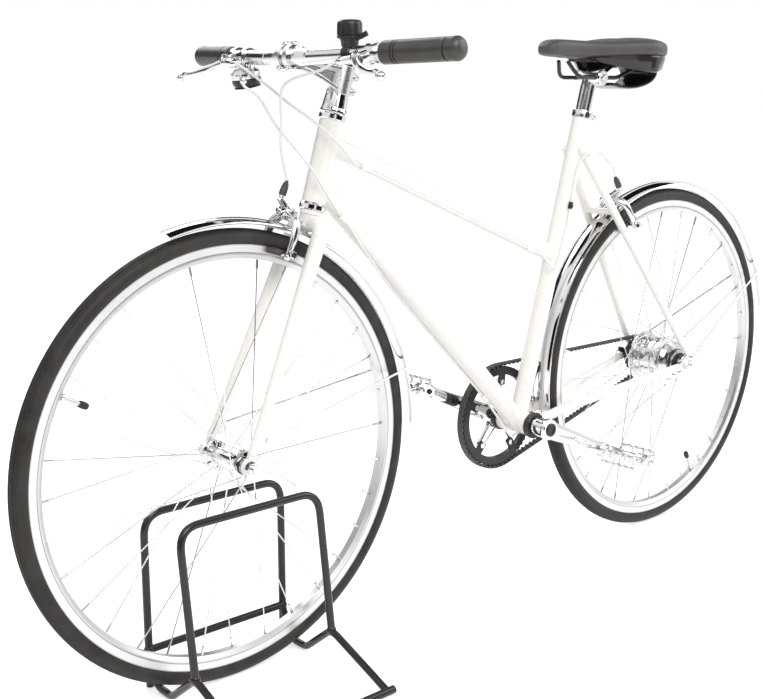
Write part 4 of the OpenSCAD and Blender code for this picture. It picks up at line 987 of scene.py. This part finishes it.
def shifter_trim():
    pod = POD_C + at(4, 0, -34)
    lean = math.radians(12)
    down = at(-math.sin(lean), 0, -math.cos(lean))
    cap = [(20, -3), (22.2, -2), (22, 2), (19, 8), (20.4, 8.6), (20.4, 9.6)]
    cap += [(12, 11), (6, 11.4), (TIP, 11.4)]
    Shape().lathe(pod + down * 0.2, down, cap).make("shift_pod_cap", "fork", black_part)
    shape = Shape()
    shape.lathe(pod - 17 * down, -down, [(16.5, 0), (16, 1), (9, 1.6), (8.6, 1), (TIP, 1)])
    barrel = [(3, 0), (5, 0.5), (5.2, 4), (4.8, 5), (5.2, 6), (4.8, 7), (5.2, 8), (5, 11.5)]
    shape.lathe(pod_barrel(-14), POD_DIR, barrel + [(3, 13.6), (2.1, 13.8)], 22)
    shape.make("shift_pod_trim", "fork", satin)


shifter_trim()


# Stem: a sleeve with two pinch bolts, a waisted beam with deep flanks, two straps round the bar
STEM_R = 17.7
STEM_C = on_head(STEM_LO + STEM_H / 2)
STEM_DIR = (BAR_MID - STEM_C).normalized()
STEM_UP = at(-STEM_DIR.z, 0, STEM_DIR.x)
STRAP_IN_R = 12.75
STRAP_Y = 9.5


def strap(shape, start, end, y_from, y_to):
    """A part of a ring round the bar, between two angles from straight ahead."""
    steps = 24
    turns = [math.radians(start + (end - start) * i / steps) for i in range(steps + 1)]
    spokes = [math.cos(a) * STEM_DIR + math.sin(a) * STEM_UP for a in turns]
    outline = [STEM_R * p for p in spokes] + [STRAP_IN_R * p for p in reversed(spokes)]
    shape.plate([BAR_MID + p + y_from * LEFT for p in outline], (y_to - y_from) * LEFT)


def stem():
    shape = Shape()
    sleeve = [(14.5, 0), (17, 0), (STEM_R, 0.8), (STEM_R, STEM_H - 0.8), (17, STEM_H), (14.5, STEM_H)]
    shape.lathe(on_head(STEM_LO), HEAD_UP, sleeve, 44, closed=True)
    for s in (STEM_LO + 10, STEM_LO + 32):
        lug = on_head(s) - 19 * HEAD_FWD
        shape.lathe(lug - 10.5 * LEFT, LEFT, [(5.2, 0), (6.4, 1.2), (6.4, 19.8), (5.2, 21)], 28)
        shape.bolt(lug + 10 * LEFT, LEFT, 4, 3.4)
    rings = []
    run = (BAR_MID - STEM_C).length
    web, rib, steps = 4.5, 5.5, 16
    for i in range(steps + 1):
        u = i / steps
        middle = STEM_C + (12 + (run - 26) * u) * STEM_DIR
        wide, tall = 12.5 - 1.5 * math.sin(math.pi * u), 18 - 6 * math.sin(math.pi * u / 1.4)
        low = tall - rib
        head = [(wide, low), (wide, tall - 1), (wide - 1.2, tall)]
        flank = [(-wide + 1.2, tall), (-wide, tall - 1), (-wide, low), (-web, low - 2.5)]
        upper = [(web, low - 2.5)] + head + flank
        section = upper + [(-y, -z) for y, z in upper]
        rings.append([middle + y * LEFT + z * STEM_UP for y, z in section])
    shape.loft(rings)
    strap(shape, 92, 268, -22, 22)
    shape.make("forged_stem", "fork", satin, ["stem"], 28, 0.7)


stem()


def stem_trim():
    shape = Shape()
    for side in (-1, 1):
        strap(shape, -88, 88, side * STRAP_Y - 5, side * STRAP_Y + 5)
        for lift in (-1, 1):
            seat = BAR_MID + 3 * STEM_DIR + side * STRAP_Y * LEFT + lift * 17.5 * STEM_UP
            shape.lathe(seat - 5 * STEM_DIR, STEM_DIR, [(4.6, 0), (5, 1), (5, 7), (4.2, 8), (TIP, 8)], 22)
            shape.bolt(seat + 2.8 * STEM_DIR, STEM_DIR, 3.6, 3.4)
    shape.make("bar_straps", "fork", alloy, ["stem_faceplate"], 30, 0.8)
    top = on_head(STEM_LO + STEM_H)
    cap = [(17.6, 0), (17.6, 3), (16, 4.6), (8, 5.2), (7.6, 4), (4.5, 4), (4.4, 3), (TIP, 3)]
    Shape().lathe(top, HEAD_UP, cap).make("stem_cap", "fork", chrome)


stem_trim()


# Brakes: forged arms that curve round the tyre and cross at the bolt
def brake_arms(name, hub, a, body, cable_side, arm, behind):
    shape = Shape()
    ahead = math.copysign(1, arm)
    pad_x = math.sqrt(PAD_R**2 - arm**2)
    on = brake_point(Vector(), a, 0, 0, 1)

    def spot(x, y, z=0.0):
        return brake_point(hub, a, x, y * cable_side, arm + z * ahead)

    bolt = BRAKE_BOLT_R
    long_arm = [(20, 28, 2), (17, 20, 2), (5, 2, 2), (-2, -18, 2), (-14, -29, 1)]
    short_arm = [(10, -14, -3), (4, 0, -3), (-2, 18, -2), (-14, 29, 0)]
    for side, route in ((-1, long_arm), (1, short_arm)):
        bends = [spot(bolt + x, y, z) for x, y, z in route]
        bends += [spot(x, side * ARM_HALF) for x in (bolt - 34, pad_x + 10, pad_x - 4)]
        line = curve(bends, 7)
        last = len(line) - 1
        radii = [5 + 3.4 * math.sin(math.pi * (i / last) ** 0.8) ** 2 for i in range(last + 1)]
        shape.tube(line, radii, 18, side=on, flat=0.72)
    knob = ball(5.4, 10)
    holder = [(4.2, -16), (4.2, 6), (6.4, 6.5), (6.4, 9)]
    for side in (-1, 1):
        shape.lathe(spot(pad_x - 4, ARM_HALF * side), on, knob, 18)
        shape.lathe(spot(pad_x, ARM_HALF * side), side * cable_side * LEFT, holder, 22)
    cable_end = spot(bolt + 20, 29)
    shape.lathe(cable_end, on, knob, 18)
    shape.lathe(cable_end, brake_point(Vector(), a, 1, 0, 0), [(4, 0), (4, 14)], 20)
    pivot = [(4, 0), (4, behind), (9, behind - 5), (9, behind + 5), (6, behind + 12.6)]
    shape.lathe(spot(bolt, 0, -behind), ahead * on, pivot)
    shape.make("forged_" + name, body, alloy, [name + "_arms"], 50)


brake_arms(*FRONT_BRAKE, 30)
brake_arms(*REAR_BRAKE, 31)


# Brakes: rubber boots where the cables enter, pivot nuts, pad bolts
def brake_trim(name, hub, a, body, cable_side, arm):
    out = brake_point(Vector(), a, 1, 0, 0)
    forward = brake_point(Vector(), a, 0, 0, math.copysign(1, arm))
    foot = brake_point(hub, a, BARREL_END - 6, cable_side * BARREL_Y, arm)
    boot = [(4.1, 0), (5.6, 1), (5.9, 8), (5.2, 12), (5.7, 13), (4.6, 16), (5, 17), (3.6, 20)]
    boot += [(2.2, 24), (2.02, 24.5)]
    Shape().lathe(foot, out, boot, 24).make(name + "_boot", body, rubber)
    shape = Shape()
    bolt = brake_point(hub, a, BRAKE_BOLT_R, 0, arm) + 12.4 * forward
    shape.nut(bolt, forward, 7.2, 6)
    shape.lathe(bolt + 6 * forward, forward, [(4, 0), (4, 2), (3, 3), (TIP, 3.2)], 16)
    pad_x = math.sqrt(PAD_R**2 - arm**2)
    for side in (-1, 1):
        seat = brake_point(hub, a, pad_x, side * (ARM_HALF + 9.6), arm)
        shape.nut(seat, side * LEFT, 5.6, 4.5)
    shape.make(name + "_nuts", body, chrome)


brake_trim(*FRONT_BRAKE)
brake_trim(*REAR_BRAKE)


def seat_tube_clip():
    """A clip that holds the rear cable on the seat tube."""
    loop = [(2.05, -6), (3.6, -6), (4.1, -5), (4.1, 5), (3.6, 6), (2.05, 6)]
    shape = Shape().lathe(beside_seat(*CLIP_AT), SEAT_UP, loop, 22, closed=True)
    shape.bolt(beside_seat(CLIP_AT[0], -6, 14), LEFT - 0.4 * SEAT_FWD, 3.6, 3)
    shape.make("cable_clip", "frame", black_part)


seat_tube_clip()


# Drive: bolts on the ring, caps and clamp bolts on the cranks, notched bearing cups
CRANK_TILT = math.radians(23.5)
CRANK_L = 170
CRANK_OUT = 80
CRANK_MID = 73
SPINDLE_HALF = 66
SPINDLE_R = 12
BOSS_IN = 45.6
RING_BOLT_R = 64
CUP_IN = 36.5
CUP_OUT = 43.6
BELT_LINE = 49
SPIDER_ARMS = 5
SPIDER = [ray(CRANK_TILT + TURN * i / SPIDER_ARMS) for i in range(SPIDER_ARMS)]


def crank_way(side):
    """From the axle to the pedal of one side."""
    return -side * ray(CRANK_TILT)


def square_to(way):
    return at(-way.z, 0, way.x)


def crank_arms():
    shape = Shape()
    shape.lathe(BB - SPINDLE_HALF * LEFT, LEFT, [(SPINDLE_R, 0), (SPINDLE_R, 2 * SPINDLE_HALF)], 32)
    boss = [(18.4, 33), (16.8, 34.4), (9, 34.4)]
    shape.lathe(BB + BOSS_IN * LEFT, LEFT, [(15.6, 0), (17, 1.2), (17, 21), (18.4, 23)] + boss)
    shape.lathe(BB - BOSS_IN * LEFT, -LEFT, [(20, 0), (22, 1.5), (22, 19), (19, 23)] + boss)
    half = [(0, 16.5), (0.18, 15.5), (0.5, 13), (0.82, 11.6), (1, 12.5)]
    deep = [(0, 7.2), (0.2, 7.2), (0.6, 6.2), (1, 6.6)]
    eye = [(9, -7), (12.2, -7), (13.8, -5.4), (13.8, 5.4), (12.2, 7), (9, 7), (8.6, 6), (TIP, 6)]
    rows, around = 32, 32
    turns = [TURN * k / around for k in range(around)]
    for side in (-1, 1):
        along = crank_way(side)
        across = square_to(along)
        foot = BB + side * CRANK_MID * LEFT
        rings = []
        for i in range(rows + 1):
            t = i / rows
            middle = foot + t * CRANK_L * along
            wide, thick = ease(half, t) * across, ease(deep, t) * LEFT
            spokes = [squash(math.cos(a), 0.8) * wide + squash(math.sin(a), 0.9) * thick for a in turns]
            rings.append([middle + p for p in spokes])
        shape.loft(rings)
        shape.lathe(foot + CRANK_L * along, side * LEFT, eye, 36)
    for on in SPIDER:
        up = square_to(on)
        rings = []
        for d, w, t in ((10, 12, 3.6), (30, 9.4, 3), (52, 7.2, 2.5), (66, 7, 2.4), (71, 5, 2.2)):
            corners = [(-w, -t), (-w + 1.2, -t - 0.8), (w - 1.2, -t - 0.8), (w, -t)]
            corners += [(w, t), (w - 1.2, t + 0.8), (1.2 - w, t + 0.8), (-w, t)]
            rings.append([BB + d * on + u * up - (BELT_LINE + 2 - v) * LEFT for u, v in corners])
        shape.loft(rings)
    shape.make("forged_cranks", "crankset", chrome, ["crank_arms"], 40)


crank_arms()


def crank_trim():
    shape = Shape()
    for on in SPIDER:
        spot = BB + RING_BOLT_R * on
        shape.bolt(spot - (BELT_LINE + 4.5) * LEFT, -LEFT, 5.2, 2.6)
        shape.lathe(spot - (BELT_LINE - 4.5) * LEFT, LEFT, [(5, 0), (5, 1), (3, 1.4), (TIP, 1.4)], 18)
    along = crank_way(1)
    across = square_to(along)
    for y in (51, 60):
        shape.bolt(BB + y * LEFT + 10 * along - 15.4 * across, -across, 3.4, 3.6)
    shape.make("crank_bolts", "crankset", chrome)
    dark = Shape()
    cap = [(12, 0), (12, 1.6), (10.6, 2.6), (7, 2.6), (6.4, 1), (TIP, 1)]
    socket = [(4.6, 0), (4.6, 1.6), (TIP, 1.6)]
    for side in (-1, 1):
        dark.lathe(BB + side * CRANK_OUT * LEFT, side * LEFT, cap, 30)
        end = BB + CRANK_L * crank_way(side)
        dark.lathe(end + side * (CRANK_OUT - 15.4) * LEFT, -side * LEFT, socket, 6)
    slit = [(13, 46), (20.2, 46), (20.2, 65.5), (13, 65.5)]
    dark.plate([BB + d * along + y * LEFT - 0.6 * across for d, y in slit], 1.2 * across)
    dark.make("crank_caps", "crankset", black_part)


crank_trim()


def cup_notches():
    shape = Shape()
    count = 64
    spokes = [ray(TURN * k / count) for k in range(count)]
    outer = [(23.4 if k % 4 < 2 else 22.3) * p for k, p in enumerate(spokes)]
    inner = [21 * p for p in spokes]
    for side in (-1, 1):
        low, high = BB + side * CUP_IN * LEFT, BB + side * CUP_OUT * LEFT
        walls = ((low, outer), (high, outer), (high, inner), (low, inner))
        shape.loft([[foot + p for p in ring] for foot, ring in walls], closed=True)
    shape.make("notched_cups", "frame", black_part)


cup_notches()


CAGE_HALF = 29.4
CAGE_IN = 92
CAGE_W = 80


def pedal_cage(name, side):
    def spot(x, y, z):
        return BB + CRANK_L * crank_way(side) + at(x, side * (CAGE_IN + y), z)

    shape = Shape()
    barrel = [(5, 0), (10, 0), (10.8, 1.5), (10.8, 13), (8.6, 20), (8.6, 56), (11.4, 63)]
    shape.lathe(spot(0, 0, 0), side * LEFT, barrel + [(11.4, 76), (5, 76)], 32, closed=True)
    steps = 40
    wave = [10 + 0.9 * math.cos(TURN * i / 8) for i in range(steps + 1)]
    for edge in (-CAGE_HALF, CAGE_HALF):
        for lift in (-1, 1):
            shape.tube([spot(edge, 3 + 73 * i / steps, lift * z) for i, z in enumerate(wave)], 2.5, 12)
        for y in (3, 27.3, 51.6, 76):
            shape.tube([spot(edge, y, -10), spot(edge, y, 10)], 2.5, 12)
        for y in (4, 73):
            way = math.copysign(1, edge)
            shape.tube([spot(x, y, 0) for x in (6.5 * way, 20 * way, edge)], [6, 4.2, 5], 16)
    shape.make(name + "_cage", name, alloy, [name], 50)


pedal_cage("left_pedal", 1)
pedal_cage("right_pedal", -1)


def pedal_trim(name, side):
    end = BB + CRANK_L * crank_way(side) + side * (CAGE_IN + CAGE_W) * LEFT
    cap = [(12, -6), (12, 0), (11, 1.6), (8.5, 2.4), (7.8, 1), (TIP, 1)]
    tooth = [(1.7, 0), (1.5, 1), (0.7, 1.9), (TIP, 2)]
    shape = Shape().lathe(end, side * LEFT, cap, 28)
    for edge in (-CAGE_HALF, CAGE_HALF):
        for k in range(9):
            for up in (1, -1):
                foot = end + at(edge, -side * (6 + 8.5 * k), 11.6 * up)
                shape.lathe(foot, up * UP, tooth, 8)
    shape.make(name + "_cap_and_teeth", name, satin)


pedal_trim("left_pedal", 1)
pedal_trim("right_pedal", -1)


def front_hub_ends():
    """Black seals beside the front flanges."""
    dark = Shape()
    seal = [(9, 0), (13.4, 0), (13.4, 3.4), (12, 4.6), (9, 4.6)]
    for side in (-1, 1):
        dark.lathe(FRONT_HUB + side * 40.5 * LEFT, side * LEFT, seal, 36, closed=True)
    dark.make("front_hub_seals", "front_wheel", black_part)


front_hub_ends()


def rear_hub_ends():
    """Black seals at the left end of the hub, and bands round its shell."""
    dark = Shape()
    seal = [(10, 0), (25.4, 0), (26.4, 1), (26.4, 6), (25.2, 7), (10, 7)]
    dark.lathe(REAR_HUB + 43.5 * LEFT, LEFT, seal, 44, closed=True)
    seal = [(14, 0), (20, 0), (20, 3.4), (18, 4.6), (14, 4.6)]
    dark.lathe(REAR_HUB + 52 * LEFT, LEFT, seal, 40, closed=True)
    dark.make("rear_hub_seals", "rear_wheel", black_part)
    bright = Shape()
    band = [(42.4, -2.2), (44, -1.6), (44.3, 0), (44, 1.6), (42.4, 2.2)]
    for y in (-24, -12, 12, 24):
        bright.lathe(REAR_HUB + y * LEFT, LEFT, band, 64, closed=True)
    lip = [(39, 0), (40.6, 0), (41, 1), (40.4, 2), (39, 2)]
    bright.lathe(REAR_HUB + 32.4 * LEFT, LEFT, lip, 64, closed=True)
    bright.make("rear_hub_bands", "rear_wheel", chrome)


rear_hub_ends()


# Axle ends: domed nuts over the modelled ones
def axle_caps():
    dome = [(7.4, -5), (7.4, 0), (6.8, 2.2), (5, 4), (2.5, 5), (TIP, 5.2)]
    for name, hub, body, y in (("front", FRONT_HUB, "fork", 63.5), ("rear", REAR_HUB, "frame", 79.5)):
        shape = Shape()
        for side in (-1, 1):
            shape.lathe(hub + side * y * LEFT, side * LEFT, dome, 24)
        shape.make(name + "_axle_caps", body, chrome)


axle_caps()


# Stand: bent tube in one run per hoop, with round corners
HOOP_FRONT = FRONT_HUB.x + 117.5
HOOP_BACK = FRONT_HUB.x - 128.5
HOOP_BEND = 34
RIGHT_HOOP_Y = -47.5
LEFT_FOOT_Y = 78
LEFT_TOP_Y = 47.5
RIGHT_TOP_Z = 268
LEFT_TOP_Z = 273
JOINT_Z = 58
CRADLE_Z = 7.3
CRADLE_BEND = 26
FOOT_Z = 6.3
FOOT_R = 6.2
FOOT_PAST = 12
STAND_REACH = 208


def stand():
    top = RIGHT_TOP_Z
    shape = Shape()
    corners = [(HOOP_BACK, 0.2), (HOOP_BACK, top), (HOOP_FRONT, top), (HOOP_FRONT, 0.2)]
    shape.tube(rounded([at(x, RIGHT_HOOP_Y, z) for x, z in corners], HOOP_BEND), STAND_R, 20)
    shape.tube([at(x, RIGHT_HOOP_Y, JOINT_Z) for x in (HOOP_BACK, HOOP_FRONT)], STAND_R - 0.1, 20)
    shape.make("bent_right_hoop", "frame", stand_black, ["stand_right_hoop"])
    shape = Shape()
    foot, head = (LEFT_FOOT_Y, JOINT_Z), (LEFT_TOP_Y, LEFT_TOP_Z)
    corners = [(HOOP_BACK, *foot), (HOOP_BACK, *head), (HOOP_FRONT, *head), (HOOP_FRONT, *foot)]
    shape.tube(rounded([at(*c) for c in corners], HOOP_BEND), STAND_R, 20)
    shape.make("bent_left_hoop", "frame", stand_black, ["stand_left_hoop"])
    shape = Shape()
    run = [(RIGHT_HOOP_Y, JOINT_Z), (-28, CRADLE_Z), (14, CRADLE_Z)]
    run += [(LEFT_FOOT_Y, JOINT_Z), (STAND_REACH, FOOT_Z)]
    for x in (HOOP_BACK, HOOP_FRONT):
        shape.tube(rounded([at(x, y, z) for y, z in run], CRADLE_BEND), STAND_R - 0.2, 20)
        for y in (RIGHT_HOOP_Y, LEFT_FOOT_Y):
            shape.lathe(at(x, y, JOINT_Z), UP, ball(7.6, 12), 22)
    ends = (HOOP_BACK - FOOT_PAST, HOOP_FRONT + FOOT_PAST)
    shape.tube([at(x, STAND_REACH, FOOT_Z) for x in ends], FOOT_R, 20)
    shape.make("bent_stand_base", "frame", stand_black, ["stand_base"])


stand()


# Studio
FLOOR_LIFT = 0.55
FLOOR_REACH = 30
FLOOR_Z = -0.0005


def backdrop():
    world = bpy.data.worlds.new("studio")
    bpy.context.scene.world = world
    bench = Bench(world)
    lit = bench.add("Background", {"Color": (1, 1, 1), "Strength": 0.62})
    white = bench.add("Background", {"Color": (1, 1, 1), "Strength": 1.0})
    both = bench.add("MixShader", {0: bench.seen_rays(), 1: lit, 2: white})
    bench.add("OutputWorld", {"Surface": both})


def flat_piece(name, corners, material):
    mesh = bpy.data.meshes.new(name)
    mesh.from_pydata(corners, [], [(0, 1, 2, 3)])
    mesh.materials.append(material)
    piece = put(name, mesh)
    return piece


def lying(x0, x1, y0, y1, z):
    return [(x0, y0, z), (x1, y0, z), (x1, y1, z), (x0, y1, z)]


def standing(start, end, low, high):
    return [(*start, low), (*end, low), (*end, high), (*start, high)]


def floor():
    material = bpy.data.materials.new("floor_white")
    bench = Bench(material)
    dull = bench.add("BsdfDiffuse", {"Color": (0.8, 0.8, 0.8)})
    lift = bench.seen_rays() * FLOOR_LIFT
    glow = bench.add("Emission", {"Color": (1, 1, 1), "Strength": lift})
    both = bench.add("AddShader", {0: dull, 1: glow})
    bench.add("OutputMaterial", {"Surface": both})
    flat_piece("floor", lying(-FLOOR_REACH, FLOOR_REACH, -FLOOR_REACH, FLOOR_REACH, FLOOR_Z), material)


def dark_card(name, corners):
    """A black card out of the picture, which bright metal mirrors as a dark streak."""
    material = bpy.data.materials.new(name + "_black")
    bench = Bench(material)
    dull = bench.add("BsdfDiffuse", {"Color": (0.01, 0.01, 0.01)})
    bench.add("OutputMaterial", {"Surface": dull})
    piece = flat_piece(name, corners, material)
    for rays in ("camera", "diffuse", "shadow", "transmission"):
        setattr(piece, "visible_" + rays, False)


def lamp(name, place, width, watts):
    """A square lamp that shines on the bicycle's middle."""
    data = bpy.data.lights.new(name, "AREA")
    data.shape = "RECTANGLE"
    data.size = width
    data.size_y = width
    data.energy = watts
    aim(put(name, data), place, at(0, 0, 0.5) - place)


backdrop()
floor()
dark_card("left_card", standing((-4.0, 3.4), (0.6, 3.4), 0.0, 2.3))
dark_card("camera_card", standing((1.6, 3.4), (4.6, 1.4), 0.0, 2.6))
dark_card("front_card", standing((4.6, -3.2), (4.6, 0.4), 0.0, 2.2))
dark_card("right_card", standing((-4.6, -3.0), (2.6, -3.0), 0.9, 2.5))
dark_card("ceiling_card", lying(-4.6, 1.4, -2.4, -0.1, 3.4))
dark_card("top_card", lying(-2.2, 2.6, 0.7, 1.4, 3.6))
lamp("key", at(1.2, 2.6, 3.2), 2.4, 90)
lamp("fill", at(-2.4, 1.8, 2.2), 2.0, 35)
lamp("right_fill", at(-0.4, -2.6, 2.6), 2.0, 40)
bpy.context.scene.view_settings.view_transform = "Standard"
